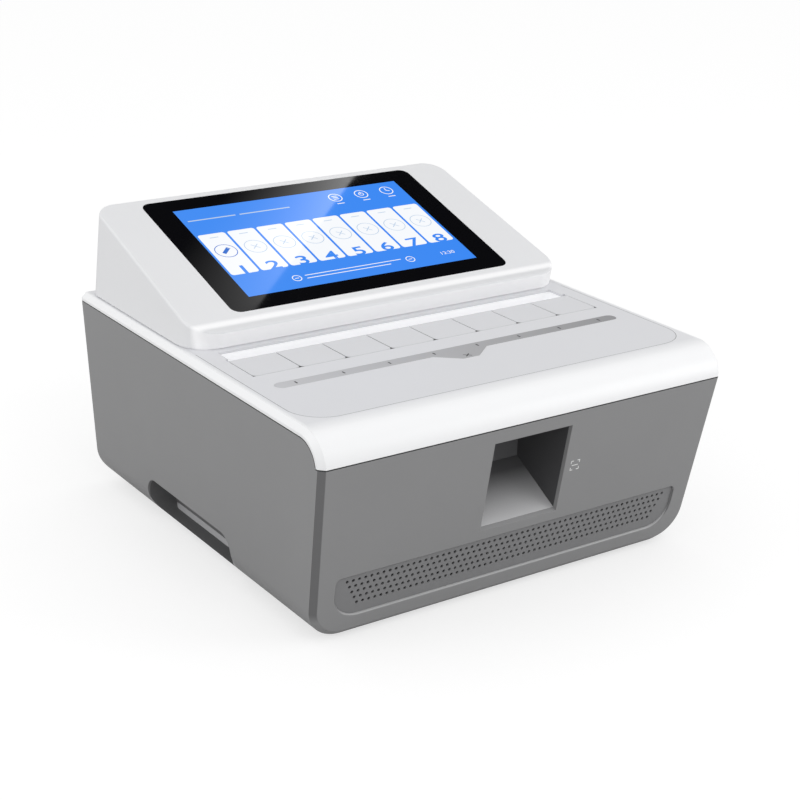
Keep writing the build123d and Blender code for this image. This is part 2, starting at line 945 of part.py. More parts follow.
def display_section(inset):
    """The display wedge seen from the front, with sides that lean in."""
    low = deck_z + plinth_height
    high = deck_z + display_half_width
    lean = tan(radians(display_lean_deg))
    half = display_half_width - inset
    return make_face(
        Polyline(
            (-half, low),
            (half, low),
            (half - lean * (high - low), high),
            (-half + lean * (high - low), high),
            close=True,
        )
    )


def display_profile(inset):
    """The display wedge seen from the side, its front edge square to the screen."""
    low = deck_z + plinth_height
    base_y = front_y + display_front + inset / cos(tilt)
    origin = screen_plane.origin - screen_plane.z_dir * inset
    slope = tan(tilt)
    top_at = lambda y: origin.Z + (y - origin.Y) * slope
    rise = (top_at(base_y) - low) / (1 + slope**2)
    back = back_y - inset
    return make_face(
        Polyline(
            (base_y, low),
            (base_y - rise * slope, low + rise),
            (back, top_at(back)),
            (back, low),
            close=True,
        )
    )


def display_form(inset):
    """The display wedge with its large round upright corners."""
    across = along_y(display_section(inset), front_y, body_depth)
    along = along_x(display_profile(inset), -body_width, body_width)
    form = across & along
    corners = form.edges().filter_by(lambda e: e.center().Z > deck_z + 3 and is_upright(e))
    front_corners = [edge for edge in corners if edge.center().Y < 0.3 * back_y]
    rear_corners = [edge for edge in corners if edge.center().Y >= 0.3 * back_y]
    form = fillet(front_corners, display_corner_radius - inset)
    rear_corners = [
        edge
        for edge in form.edges()
        if edge.center().Y > 0.9 * (back_y - inset) and is_upright(edge)
    ]
    return fillet(rear_corners, display_rear_radius - inset)


def is_upright(edge):
    """True for an edge that runs mostly up and down and is long enough to be a corner."""
    run = edge @ 1 - edge @ 0
    return abs(run.Z) > 0.8 * run.length and run.length > 8


def screen_rectangle(width, length, radius=0.0, low=None):
    """A rectangle on the screen plane, its lower edge a given way below the active area."""
    start = -glass_below_active if low is None else low
    shape = RectangleRounded(width, length, radius) if radius else Rectangle(width, length)
    return Pos(0, start + length / 2) * shape


def screen_slab(face, start, end):
    """A plate parallel to the screen, between two depths under its surface."""
    return extrude(screen_plane.offset(-end) * face, end - start)


pocket_depth = glass_sunk + glass_thickness
module_low = active_length / 2 - module_length / 2
module_back = pocket_depth + module_thickness
bracket_back = module_back + bracket_thickness


def display_housing():
    """The white wedge shell with a pocket for the glass and a thin plinth at its foot."""
    form = display_form(0)
    top_edges = form.edges().filter_by(
        lambda e: abs(screen_plane.to_local_coords(e.center()).Z) < 0.05
        and abs(screen_plane.to_local_coords(e @ 0).Z) < 0.05
    )
    form = fillet(top_edges, display_edge_fillet)
    body = form - display_form(wall)
    ring = plinth_face(plinth_inset) - plinth_face(plinth_inset + plinth_thickness)
    body += upright(ring, deck_z, deck_z + plinth_height)
    pocket = screen_rectangle(glass_width + 2 * fit_gap, glass_length + 2 * fit_gap, glass_corner)
    pocket = Pos(0, -fit_gap) * pocket
    body -= screen_slab(pocket, -1, pocket_depth)
    opening = screen_rectangle(module_width + 2 * seat_gap, module_length + 2 * seat_gap, 0, module_low)
    opening = Pos(0, -seat_gap) * opening
    body -= screen_slab(opening, 0, wall + pocket_depth)
    rim = screen_rectangle(module_width + 16, module_length + 12, 0, module_low - 6)
    rim_part = screen_slab(rim - opening, pocket_depth, module_back)
    body += rim_part & display_form(wall / 2)
    for x, y in display_screw_places:
        boss = rod_z(display_boss_radius, deck_z, deck_z + 14, x, y)
        boss += block(x - 1, x + 1, y, back_y - 1, deck_z, deck_z + 14) & display_form(wall / 2)
        body += boss
        body -= rod_z(screw_radius, deck_z - 1, deck_z + 10, x, y)
    return body


def plinth_face(inset):
    """The display's footprint on the deck, drawn in from its base outline."""
    half = display_half_width - inset
    low = front_y + display_front + inset
    high = back_y - inset
    face = make_face(Polyline((-half, low), (half, low), (half, high), (-half, high), close=True))
    face = fillet(face.vertices().group_by(Axis.Y)[0], display_corner_radius - inset)
    return fillet(face.vertices().group_by(Axis.Y)[-1], display_rear_radius - inset)


def display_glass():
    """The touch glass that lies flush in the wedge."""
    face = screen_rectangle(glass_width, glass_length, glass_corner)
    return screen_slab(face, glass_sunk, pocket_depth)


def display_module():
    """The liquid crystal panel under the glass."""
    face = screen_rectangle(module_width, module_length, 0, module_low)
    return screen_slab(face, pocket_depth, module_back)


def display_bracket():
    """The steel plate that holds the panel against the glass."""
    margin = bracket_margin
    low = module_low - margin
    plate = screen_rectangle(module_width + 2 * margin - 4, module_length + 2 * margin - 8, 0, low + 4)
    window = screen_rectangle(
        module_width - 2 * bracket_window_margin,
        module_length - 2 * bracket_window_margin,
        6,
        module_low + bracket_window_margin,
    )
    return screen_slab(plate - window, module_back, bracket_back)


def peltier_modules():
    """Eight thermoelectric plates between the blocks and the heat sink."""
    plates = []
    for lane in range(lane_count):
        x = lane_x(lane)
        half = (lane_pitch - well_divider) / 2 - seat_gap - peltier_inset
        y0 = well_front_y + seat_gap + peltier_inset
        y1 = well_rear_y - well_rear_wall - seat_gap - peltier_inset
        plates.append(block(x - half, x + half, y0, y1, sink_top_z, block_bottom_z))
    return Compound(children=plates)


def heat_sink():
    """The finned plate that spans all lanes."""
    y0 = well_front_y - sink_front_reach
    y1 = well_rear_y
    plate_z = sink_top_z - sink_base
    body = block(-sink_half_width, sink_half_width, y0, y1, plate_z, sink_top_z)
    span = 2 * (sink_half_width - sink_fin_margin)
    step = (span - sink_fin_thickness) / (sink_fin_count - 1)
    fins = []
    for fin in range(sink_fin_count):
        x0 = -span / 2 + fin * step
        fins.append(block(x0, x0 + sink_fin_thickness, y0, y1, sink_bottom_z, plate_z))
    return body + fins


def optics_modules():
    """Eight reading heads in front of the blocks, each with a lens that faces its block."""
    heads = []
    y1 = well_front_y - tray_wall - seat_gap - 1
    y0 = y1 - optics_length
    for lane in range(lane_count):
        x = lane_x(lane)
        half = optics_width / 2
        head = block(x - half, x + half, y0, y1, sink_top_z, sink_top_z + optics_height)
        lens_z = (block_bottom_z + block_top_z) / 2
        heads.append(head + rod_y(optics_lens_radius, y1, y1 + optics_lens_length, x, lens_z))
    return Compound(children=heads)


def chassis_plate():
    """The folded steel tray on the floor bosses."""
    half = chassis_half_width
    body = block(-half, half, chassis_front_y, chassis_back_y, chassis_z, chassis_z + chassis_thickness)
    for side in (-1, 1):
        near = side * half
        far = side * (half - chassis_thickness)
        x0, x1 = min(near, far), max(near, far)
        body += block(x0, x1, chassis_front_y, chassis_back_y, chassis_z, chassis_z + chassis_flange)
    for x, y in chassis_boss_places:
        body -= rod_z(screw_radius + screw_play, chassis_z - 1, chassis_z + 3, x, y)
    return body


def support_frame():
    """Two folded uprights that carry the heat sink from the chassis plate."""
    plate_top = chassis_z + chassis_thickness
    y0 = well_front_y - sink_front_reach
    y1 = y0 + frame_depth
    top = sink_top_z - sink_base
    legs = []
    for side in (-1, 1):
        inner_x = chassis_half_width - chassis_thickness - seat_gap - frame_thickness
        outer_x = sink_half_width - 2
        step_top = sink_bottom_z - seat_gap
        step_low = step_top - frame_thickness
        rise_x = sink_half_width - sink_fin_margin + frame_thickness + seat_gap
        foot_x = inner_x - frame_foot
        leg = block(inner_x, inner_x + frame_thickness, y0, y1, plate_top, step_top)
        foot = block(foot_x, inner_x + frame_thickness, y0, y1, plate_top, plate_top + frame_thickness)
        step = block(inner_x, rise_x, y0, y1, step_low, step_top)
        riser = block(rise_x - frame_thickness, rise_x, y0, y1, step_low, top)
        shelf = block(rise_x - frame_thickness, outer_x, y0, y1, top - frame_thickness, top)
        body = leg + foot + step + riser + shelf
        if side < 0:
            body = mirror(body, Plane.YZ)
        legs.append(body)
    return Compound(children=legs)


def power_supply():
    """The closed power supply with its terminal block."""
    z0 = chassis_z + chassis_thickness
    x0 = supply_x - supply_width / 2
    y1 = front_y + supply_back
    y0 = y1 - supply_length
    body = block(x0, x0 + supply_width, y0, y1, z0, z0 + supply_height)
    body -= block(x0 + 6, x0 + supply_width - 6, y1 - 14, y1 + 1, z0 + 12, z0 + supply_height + 1)
    count = 5
    for post in range(count + 1):
        x = x0 + 10 + post * (supply_width - 22) / count
        body += block(x, x + 2, y1 - 14, y1 - 2, z0 + 11, z0 + 24)
    return body


def main_board():
    """The controller board on four spacers, with its processor cooler and connectors."""
    z0 = chassis_z + chassis_thickness
    top = z0 + board_lift + board_thickness
    x0 = board_x - board_width / 2
    x1 = board_x + board_width / 2
    y1 = rear_seat_y - seat_gap
    y0 = y1 - board_length
    body = block(x0, x1, y0, y1, top - board_thickness, top)
    for x in (x0 + 6, x1 - 6):
        for y in (y0 + 6, y1 - 40):
            body += rod_z(3, z0, top - board_thickness + 0.1, x, y)
    body += block(board_x - 20, board_x + 20, y0 + 70, y0 + 110, top, top + 3)
    for fin in range(9):
        x = board_x - 20 + fin * 4.8
        body += block(x, x + 1.6, y0 + 70, y0 + 110, top + 3, top + 14)
    body += block(x0 + 14, x0 + 20, y0 + 20, y0 + 80, top, top + 9)
    body += block(x1 - 40, x1 - 12, y0 + 14, y0 + 22, top, top + 10)
    return body


def rear_ports():
    """The network jack and the double USB socket on the board's rear edge."""
    z0 = chassis_z + chassis_thickness + board_lift + board_thickness
    y1 = rear_face_y + port_proud
    jack = block(network_x - 8, network_x + 8, y1 - 21, y1, z0, z0 + 13.5)
    jack -= block(network_x - 6, network_x + 6, y1 - 12, y1 + 1, z0 + 2.5, z0 + 10.5)
    jack -= block(network_x - 3, network_x + 3, y1 - 12, y1 + 1, z0 + 1.2, z0 + 3)
    usb = block(usb_x - 7.2, usb_x + 7.2, y1 - 17.5, y1, z0, z0 + 15.6)
    for level in (1.4, 9.0):
        usb -= block(usb_x - 6.2, usb_x + 6.2, y1 - 12, y1 + 1, z0 + level, z0 + level + 5.2)
        usb += block(usb_x - 5.6, usb_x + 5.6, y1 - 12.5, y1 - 1, z0 + level + 2.9, z0 + level + 4.6)
    return Compound(children=[jack, usb])


def rear_panel():
    """The steel rear panel with exhaust slots and cut-outs for inlet, switch and ports."""
    half = rear_panel_half_width - fit_gap
    low = rear_low_z + fit_gap
    high = rear_high_z - fit_gap
    body = block(-half, half, rear_seat_y, rear_face_y, low, high)

    def cut(x0, x1, z0, z1):
        return block(x0, x1, rear_seat_y - 1, rear_face_y + 1, z0, z1)

    fan_z = bottom_z + fan_height
    reach = fan_bore_radius - 2
    slots = int(reach / vent_slot_pitch)
    for slot in range(-slots, slots + 1):
        x = slot * vent_slot_pitch
        tall = sqrt(reach**2 - x**2)
        if tall > vent_slot_width:
            x0 = fan_x + x - vent_slot_width / 2
            body -= cut(x0, x0 + vent_slot_width, fan_z - tall, fan_z - 1.5)
            body -= cut(x0, x0 + vent_slot_width, fan_z + 1.5, fan_z + tall)
    inlet_z = bottom_z + inlet_height
    half_w = inlet_width / 2 + 0.5
    half_l = inlet_length / 2 + 0.5
    body -= cut(inlet_x - half_w, inlet_x + half_w, inlet_z - half_l, inlet_z + half_l)
    half_w = switch_width / 2 - 1.5 + fit_gap
    half_l = switch_length / 2 - 1.5 + fit_gap
    body -= cut(switch_x - half_w, switch_x + half_w, inlet_z - half_l, inlet_z + half_l)
    port_z = chassis_z + chassis_thickness + board_lift + board_thickness
    body -= cut(network_x - 8.3, network_x + 8.3, port_z - 0.3, port_z + 13.8)
    body -= cut(usb_x - 7.5, usb_x + 7.5, port_z - 0.3, port_z + 15.9)
    for x, z in rear_screw_places:
        body -= rod_y(screw_radius + screw_play, rear_seat_y - 1, rear_face_y + 1, x, z)
    return body


def power_inlet():
    """The mains inlet: flanged shroud with three flat pins inside."""
    z = bottom_z + inlet_height
    face = rear_face_y + inlet_flange_thickness
    half_w = inlet_width / 2
    half_l = inlet_length / 2
    flange = along_y(
        Pos(inlet_x, z) * RectangleRounded(inlet_flange_width, inlet_flange_length, 5), rear_face_y, face
    )
    body = block(
        inlet_x - half_w, inlet_x + half_w, face - inlet_depth, rear_face_y + 0.1, z - half_l, z + half_l
    )
    body = flange + body
    body -= block(
        inlet_x - half_w + 1.5,
        inlet_x + half_w - 1.5,
        face - inlet_cavity_depth,
        face + 1,
        z - half_l + 1.5,
        z + half_l - 1.5,
    )
    for x, pin_z in ((-7, -2), (7, -2), (0, 2)):
        body += block(
            inlet_x + x - 1,
            inlet_x + x + 1,
            face - inlet_cavity_depth - 1,
            face - inlet_pin_recess,
            z + pin_z - 2,
            z + pin_z + 2,
        )
    return body


def switch_frame():
    """The rocker switch's frame, snapped into the rear panel."""
    z = bottom_z + inlet_height
    half_w = switch_width / 2
    half_l = switch_length / 2
    lip = block(switch_x - half_w, switch_x + half_w, rear_face_y, rear_face_y + 1.2, z - half_l, z + half_l)
    case = block(
        switch_x - half_w + 1.5,
        switch_x + half_w - 1.5,
        rear_face_y - switch_depth,
        rear_face_y + 1,
        z - half_l + 1.5,
        z + half_l - 1.5,
    )
    hollow = block(
        switch_x - half_w + 1.5 + switch_wall,
        switch_x + half_w - 1.5 - switch_wall,
        rear_face_y - switch_depth + 4,
        rear_face_y + 2,
        z - half_l + 1.5 + switch_wall,
        z + half_l - 1.5 - switch_wall,
    )
    body = lip + case - hollow
    pin = rocker_pin_radius + rocker_play
    return body - rod_x(pin, switch_x - half_w + 2, switch_x + half_w - 2, rocker_y, z)


rocker_y = rear_face_y - 5.0


def switch_rocker():
    """The rocker, at rest in its off position and turning on two short pins."""
    z = bottom_z + inlet_height
    half_w = switch_width / 2 - 1.5 - switch_wall - seat_gap
    half_l = switch_length / 2 - 1.5 - switch_wall - 1.0
    body = block(switch_x - half_w, switch_x + half_w, rocker_y - 2, rocker_y + 5.6, z - half_l, z + half_l)
    dish = rod_x(60, switch_x - 20, switch_x + 20, rocker_y + 4.4 + 60, z)
    body -= dish
    pin_half = switch_width / 2 - 2.2
    body += rod_x(rocker_pin_radius, switch_x - pin_half, switch_x + pin_half, rocker_y, z)
    turn = Pos(0, rocker_y, z) * Rot(rocker_tilt_deg, 0, 0) * Pos(0, -rocker_y, -z)
    return turn * body


def fan_frame():
    """The square fan frame with its hub and three spokes."""
    z = bottom_z + fan_height
    half = fan_size / 2
    y1 = rear_seat_y
    y0 = y1 - fan_depth
    body = block(fan_x - half, fan_x + half, y0, y1, z - half, z + half)
    body -= rod_y(fan_bore_radius, y0 - 1, y1 + 1, fan_x, z)
    body += rod_y(fan_hub_radius, y0, y0 + 3, fan_x, z)
    for spoke in range(3):
        arm = block(-1.5, 1.5, y0, y0 + 3, fan_hub_radius - 2, fan_bore_radius + 1)
        body += Pos(fan_x, 0, z) * Rot(0, 120 * spoke + 30, 0) * arm
    body += rod_y(4, y0 + 2, y0 + 12, fan_x, z)
    return body - rod_y(fan_shaft_radius + fan_play, y0 + 1, y0 + 13, fan_x, z)


def fan_rotor():
    """The fan wheel: cup, shaft and swept blades."""
    z = bottom_z + fan_height
    y0 = rear_seat_y - fan_depth + 4
    y1 = rear_seat_y - 2
    cup = rod_y(fan_hub_radius, y0, y1, 0, 0) - rod_y(fan_hub_radius - 2, y0 - 1, y1 - 2, 0, 0)
    cup += rod_y(fan_shaft_radius, y0 - 2.5, y1 - 1, 0, 0)
    tip = fan_bore_radius - fan_tip_gap
    pitch_deg = 38
    blade = block(-1.0, 1.0, -9.5, 9.5, fan_hub_radius - 1.5, tip + 3)
    blade = Rot(0, 0, pitch_deg) * blade
    blade = Pos(0, (y0 + y1) / 2, 0) * blade
    limit = rod_y(tip, y0 + 0.5, y1 - 0.5, 0, 0) - rod_y(fan_hub_radius - 1, y0 - 1, y1 + 1, 0, 0)
    blade = blade & limit
    wheel = cup
    for turn in range(fan_blades):
        wheel += Rot(0, 360 / fan_blades * turn, 0) * blade
    return Pos(fan_x, 0, z) * wheel


def rubber_feet():
    """Four round rubber feet that seat in shallow recesses."""
    feet = []
    for x, y in foot_places:
        foot = rod_z(foot_radius, 0, bottom_z + foot_recess, x, y)
        foot -= rod_z(screw_head_radius + 0.3, -1, bottom_z - 0.6, x, y)
        foot -= rod_z(screw_radius + screw_play, -1, bottom_z + foot_recess + 1, x, y)
        feet.append(foot)
    return Compound(children=feet)


def screw(length):
    """A plain round-headed screw, its head below the origin and its shank upward."""
    head = Pos(0, 0, -screw_head_height / 2) * Cylinder(screw_head_radius, screw_head_height)
    return head + Pos(0, 0, length / 2) * Cylinder(screw_radius, length)


def foot_screws():
    """The screws that hold the feet."""
    length = wall + foot_recess + 2
    return Compound(children=[Pos(x, y, bottom_z - 0.6) * screw(length) for x, y in foot_places])


def case_screws():
    """The screws that join the cover to the housing's posts."""
    seat = post_top_z - wall
    return Compound(children=[Pos(x, y, seat) * screw(case_screw_length) for x, y in post_places])


def display_screws():
    """The screws that hold the display wedge from under the cover."""
    seat = deck_z - wall
    return Compound(children=[Pos(x, y, seat) * screw(wall + 9) for x, y in display_screw_places])


def panel_screws():
    """The screws of the rear panel, their heads at the back."""
    screws = []
    for x, z in rear_screw_places:
        screws.append(Pos(x, rear_face_y, z) * Rot(90, 0, 0) * screw(rear_panel_thickness + 5))
    return Compound(children=screws)


def chassis_screws():
    """The screws that hold the chassis plate on its bosses."""
    seat = chassis_z + chassis_thickness
    places = chassis_boss_places
    return Compound(children=[Pos(x, y, seat) * Rot(180, 0, 0) * screw(9) for x, y in places])


pieces["lower_housing"] = lower_housing()
pieces["top_cover"] = top_cover()
pieces["deck_panel"] = deck_panel()
pieces["lane_tray"] = lane_tray()
pieces["hinge_rod"] = hinge_rod()
pieces["lid_latches"] = lid_latches()
pieces["status_bar"] = status_bar()
pieces["status_light_board"] = status_light_board()
pieces["display_housing"] = display_housing()
pieces["display_glass"] = display_glass()
pieces["display_module"] = display_module()
pieces["display_bracket"] = display_bracket()
pieces["display_screws"] = display_screws()
pieces["scan_funnel"] = scan_funnel()
pieces["scan_window"] = scan_window()
pieces["scanner_module"] = scanner_module()
pieces["grille_panel"] = grille_panel()
pieces["peltier_modules"] = peltier_modules()
pieces["heat_sink"] = heat_sink()
pieces["optics_modules"] = optics_modules()
pieces["chassis_plate"] = chassis_plate()
pieces["chassis_screws"] = chassis_screws()
pieces["support_frame"] = support_frame()
pieces["power_supply"] = power_supply()
pieces["main_board"] = main_board()
pieces["rear_ports"] = rear_ports()
pieces["rear_panel"] = rear_panel()
pieces["panel_screws"] = panel_screws()
pieces["power_inlet"] = power_inlet()
pieces["switch_frame"] = switch_frame()
pieces["switch_rocker"] = switch_rocker()
pieces["fan_frame"] = fan_frame()
pieces["fan_rotor"] = fan_rotor()
pieces["rubber_feet"] = rubber_feet()
pieces["foot_screws"] = foot_screws()
pieces["case_screws"] = case_screws()
for lane in range(lane_count):
    pieces[f"lane_lid_{lane + 1}"] = lane_lid(lane)
    pieces[f"lid_pad_{lane + 1}"] = lid_pad(lane)
    pieces[f"thermal_block_{lane + 1}"] = thermal_block(lane)

os.makedirs("parts", exist_ok=True)
for name, piece in pieces.items():
    export_step(piece, f"parts/{name}.step")
print(len(pieces), "sub-parts written")
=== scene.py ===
# %% [markdown]
# A bench real-time PCR machine. It has a grey moulded body, a white cover with
# eight small hinged lids, a touch display on a wedge, and in front a recess
# where a label is scanned, over a long perforated intake. The rigid pieces come
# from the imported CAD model. This script gives them their surfaces, adds the
# small things that only the eye needs, and lights them as a product photograph.

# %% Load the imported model
from math import cos, hypot, pi, radians, sin

import bmesh
import bpy
from mathutils import Matrix, Vector


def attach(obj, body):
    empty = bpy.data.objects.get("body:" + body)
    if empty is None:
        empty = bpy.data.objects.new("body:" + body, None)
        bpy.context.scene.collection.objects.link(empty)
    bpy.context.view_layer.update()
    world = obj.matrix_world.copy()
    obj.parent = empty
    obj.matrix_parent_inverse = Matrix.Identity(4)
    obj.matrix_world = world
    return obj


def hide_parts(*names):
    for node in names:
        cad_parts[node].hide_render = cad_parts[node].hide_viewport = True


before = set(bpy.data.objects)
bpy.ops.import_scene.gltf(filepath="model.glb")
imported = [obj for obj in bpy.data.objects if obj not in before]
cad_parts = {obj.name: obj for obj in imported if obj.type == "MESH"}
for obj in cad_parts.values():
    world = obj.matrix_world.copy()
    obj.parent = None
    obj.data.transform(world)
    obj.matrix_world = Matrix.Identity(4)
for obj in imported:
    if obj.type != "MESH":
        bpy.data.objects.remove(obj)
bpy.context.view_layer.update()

mm = 0.001

# %% [markdown]
# The camera stands where the photographer's did. Three angles, a place and a
# focal length say all of it. The pitch looks down on the deck, the yaw turns to
# the left front corner, and a roll of one degree is what a hand-set tripod gives.
# A lens of about 77 mm keeps the sides from running together too strongly.

# %% Camera
camera_place = Vector((-720.65, -1063.48, 589.40)) * mm
camera_yaw = radians(-34.457)
camera_pitch = radians(20.829)
camera_roll = radians(1.231)
camera_lens = 76.59

back = Vector((
    sin(camera_yaw) * cos(camera_pitch),
    -cos(camera_yaw) * cos(camera_pitch),
    sin(camera_pitch),
))
level = (-back).cross(Vector((0, 0, 1))).normalized()
upward = level.cross(-back)
right = cos(camera_roll) * level + sin(camera_roll) * upward
above = cos(camera_roll) * upward - sin(camera_roll) * level

camera_data = bpy.data.cameras.new("camera")
camera_data.sensor_width = 36.0
camera_data.lens = camera_lens
camera_data.clip_end = 30.0
camera = bpy.data.objects.new("camera", camera_data)
camera.matrix_world = Matrix((
    (right.x, above.x, back.x, camera_place.x),
    (right.y, above.y, back.y, camera_place.y),
    (right.z, above.z, back.z, camera_place.z),
    (0, 0, 0, 1),
))
scene = bpy.context.scene
scene.collection.objects.link(camera)
scene.camera = camera
scene.view_settings.view_transform = "Standard"
print("camera looks along", tuple(round(c, 3) for c in -back))

# %% [markdown]
# Every finish is a small node tree, so first come helpers that keep the trees
# short. One adds a node, sets its values and joins its inputs in a single call.
# The others stand for the nodes that are used most: sums, ranges, blends,
# noises, bumps and coordinates.

# %% Helpers for materials
def new_material(name):
    """A fresh material, its node tree and its main shader."""
    material = bpy.data.materials.new(name)
    material.use_nodes = True
    tree = material.node_tree
    return material, tree, tree.nodes["Principled BSDF"]


def add(tree, kind, values=None, links=None, **settings):
    """A node with its settings, its input values and its joined inputs."""
    node = tree.nodes.new(kind)
    for key, value in settings.items():
        setattr(node, key, value)
    for key, value in (values or {}).items():
        node.inputs[key].default_value = value
    for key, source in (links or {}).items():
        tree.links.new(source, node.inputs[key])
    return node


def join(tree, source, target):
    """Joins one socket to another."""
    tree.links.new(source, target)


def filled(tree, node, values):
    """Gives a node's inputs their numbers, colours or joined sockets."""
    for key, value in values.items():
        if isinstance(value, bpy.types.NodeSocket):
            join(tree, value, node.inputs[key])
        else:
            node.inputs[key].default_value = value
    return node


def solid(colour):
    """A colour with its alpha."""
    return (*colour, 1.0)


def grey(tone):
    """A neutral colour with its alpha."""
    return (tone, tone, tone, 1.0)


def calc(tree, operation, *values):
    """A Math node over numbers and sockets."""
    node = add(tree, "ShaderNodeMath", operation=operation)
    return filled(tree, node, dict(enumerate(values))).outputs[0]


def vector(tree, operation, *values):
    """A Vector Math node over vectors and sockets. Gives its outputs."""
    node = add(tree, "ShaderNodeVectorMath", operation=operation)
    return filled(tree, node, dict(enumerate(values))).outputs


def spread(tree, value, start, end, low=0.0, high=1.0):
    """Takes a value from one range to another and holds it at the ends."""
    ranges = {"From Min": start, "From Max": end, "To Min": low, "To Max": high}
    return add(tree, "ShaderNodeMapRange", ranges, {"Value": value}).outputs["Result"]


def blend(tree, share, low, high):
    """A colour between two. Each is a colour with alpha or a socket."""
    node = add(tree, "ShaderNodeMix", data_type="RGBA")
    return filled(tree, node, {0: share, 6: low, 7: high}).outputs[2]


def on_object(tree):
    """The piece's own coordinates."""
    return add(tree, "ShaderNodeTexCoord").outputs["Object"]


def noise(tree, place, scale, detail=2.0, roughness=0.5):
    """A noise over some coordinates."""
    values = {"Scale": scale, "Detail": detail, "Roughness": roughness}
    return add(tree, "ShaderNodeTexNoise", values, {"Vector": place}).outputs["Fac"]


def bumped(tree, shader, height, strength, depth, normal=None):
    """Roughens a surface by a height. The depth is in millimetres."""
    values = {"Strength": strength, "Distance": depth * mm, "Height": height}
    if normal is not None:
        values["Normal"] = normal
    bump = filled(tree, add(tree, "ShaderNodeBump"), values)
    join(tree, bump.outputs["Normal"], shader.inputs["Normal"])


print("material helpers ready")

# %% [markdown]
# Moulded plastic is never quite even. Under a close look it has a fine eroded
# grain, a slow drift of tone where the melt flowed, and softened edges. One
# noise gives the grain and the gloss and another the drift, both on Object
# coordinates so that they stay with the piece. The Bevel node rounds the light
# on every sharp edge by a few tenths of a millimetre, as a real mould does.

# %% Moulded plastic
noise_band = (0.3, 0.7)
flow_scale, gloss_swing, grain_bump = 14.0, 0.05, 0.35


def moulded(name, colour, roughness=0.42, grain=0.45, depth=0.012, drift=0.03, edge=0.35):
    """Satin moulded plastic. Grain, depth and edge are in millimetres."""
    material, tree, shader = new_material(name)
    place = on_object(tree)
    fine = noise(tree, place, 1 / (grain * mm), 3.0, 0.6)
    slow = noise(tree, place, flow_scale)
    low = solid([c * (1 - drift) for c in colour])
    high = solid([min(1.0, c * (1 + drift)) for c in colour])
    join(tree, blend(tree, slow, low, high), shader.inputs["Base Color"])
    gloss = spread(tree, fine, *noise_band, roughness - gloss_swing, roughness + gloss_swing)
    join(tree, gloss, shader.inputs["Roughness"])
    rounded = add(tree, "ShaderNodeBevel", {"Radius": edge * mm}, samples=6)
    bumped(tree, shader, fine, grain_bump, depth, rounded.outputs["Normal"])
    return material


housing_grey = moulded("housing grey", (0.275, 0.275, 0.279), 0.40, grain=0.5, depth=0.02)
cover_white = moulded("cover white", (0.84, 0.845, 0.86), 0.34, 0.4, 0.008, 0.012)
# top white is a darker copy of the cover white for the top cover: painted shade on its broad top.
top_white = moulded("top white", (0.775, 0.78, 0.80), 0.34, 0.4, 0.008, 0.012)
deck_grey = moulded("deck grey", (0.735, 0.74, 0.765), 0.38, 0.35, 0.008, 0.012)
lid_grey = moulded("lid grey", (0.71, 0.715, 0.74), 0.36, 0.35, 0.008, 0.015)
funnel_grey = moulded("funnel grey", (0.085, 0.085, 0.088), 0.46, grain=0.4, depth=0.02)
# The tray white is set very bright: partly its own white, partly painted light for its shaded trough.
inner_white = moulded("tray white", (0.94, 0.945, 0.96), 0.42, 0.4, 0.01, 0.015)
black_plastic = moulded("black plastic", (0.020, 0.020, 0.022), 0.45, 0.35, 0.02, 0.1)
grille_grey = moulded("grille grey", (0.225, 0.225, 0.230), 0.48, grain=0.3, depth=0.02, edge=0.25)
rear_paint = moulded("rear paint", (0.24, 0.24, 0.245), 0.52, grain=0.6, depth=0.04, edge=0.2)
ceramic = moulded("ceramic", (0.84, 0.84, 0.81), 0.5, grain=0.3, depth=0.006)
foot_rubber = moulded("foot rubber", (0.028, 0.028, 0.028), 0.78, 0.5, 0.04, 0.15)
silicone = moulded("pad silicone", (0.12, 0.12, 0.13), 0.6, 0.6, 0.02, 0.08)
port_dark = moulded("port dark", (0.012, 0.012, 0.013), 0.5, grain=0.4, depth=0.01)
# A near-black for the sheet behind the intake: painted shade of the housing's inside.
shade_sheet_black = moulded("shade sheet black", (0.010, 0.010, 0.011), 0.9, grain=0.8, depth=0.05)
sign_white = moulded("sign white", (0.86, 0.86, 0.86), 0.5, grain=0.3, depth=0.002)
groove_grey = moulded("groove grey", (0.33, 0.33, 0.34), 0.6, grain=0.4, depth=0.002)
print("moulded and painted finishes:", len(bpy.data.materials))

# %% [markdown]
# Some tones are painted light and shade at a place on a piece. The rolled
# front and the side bands of the cover get a painted highlight, the corner
# chamfers of the housing and the backs of its grips painted shade, the funnel
# painted shade that deepens towards its window, and the wells between the lids
# painted black shade. Boxes, ramps and facings on Object coordinates say where,
# as shares from nothing to one. Their places are in millimetres.

# %% Helpers for tones by place
def coordinate(tree, axis, mirrored=False):
    """One of the piece's own coordinates, without its sign where both sides are alike."""
    value = add(tree, "ShaderNodeSeparateXYZ", links={"Vector": on_object(tree)}).outputs[axis]
    return calc(tree, "ABSOLUTE", value) if mirrored and axis == "X" else value


def zone(tree, centre, half, mirrored=False):
    """One inside a box, else nothing."""
    inside = [calc(tree, "COMPARE", coordinate(tree, axis, mirrored), middle * mm, reach * mm)
              for axis, middle, reach in zip("XYZ", centre, half)]
    return calc(tree, "MULTIPLY", calc(tree, "MULTIPLY", inside[0], inside[1]), inside[2])


def ramp(tree, axis, start, end, mirrored=False):
    """Rises from nothing at one place to one at another, along an axis."""
    return spread(tree, coordinate(tree, axis, mirrored), start * mm, end * mm)


def facing(tree, direction, low, high, mirrored=False):
    """One where the surface faces a direction of its own piece."""
    normal = add(tree, "ShaderNodeTexCoord").outputs["Normal"]
    if mirrored:
        normal = vector(tree, "ABSOLUTE", normal)[0]
    return spread(tree, vector(tree, "DOT_PRODUCT", normal, direction)["Value"], low, high)


def both(tree, first, second):
    """Where two shares meet."""
    return calc(tree, "MULTIPLY", first, second)


def either(tree, first, second):
    """The larger of two shares."""
    return calc(tree, "MAXIMUM", first, second)


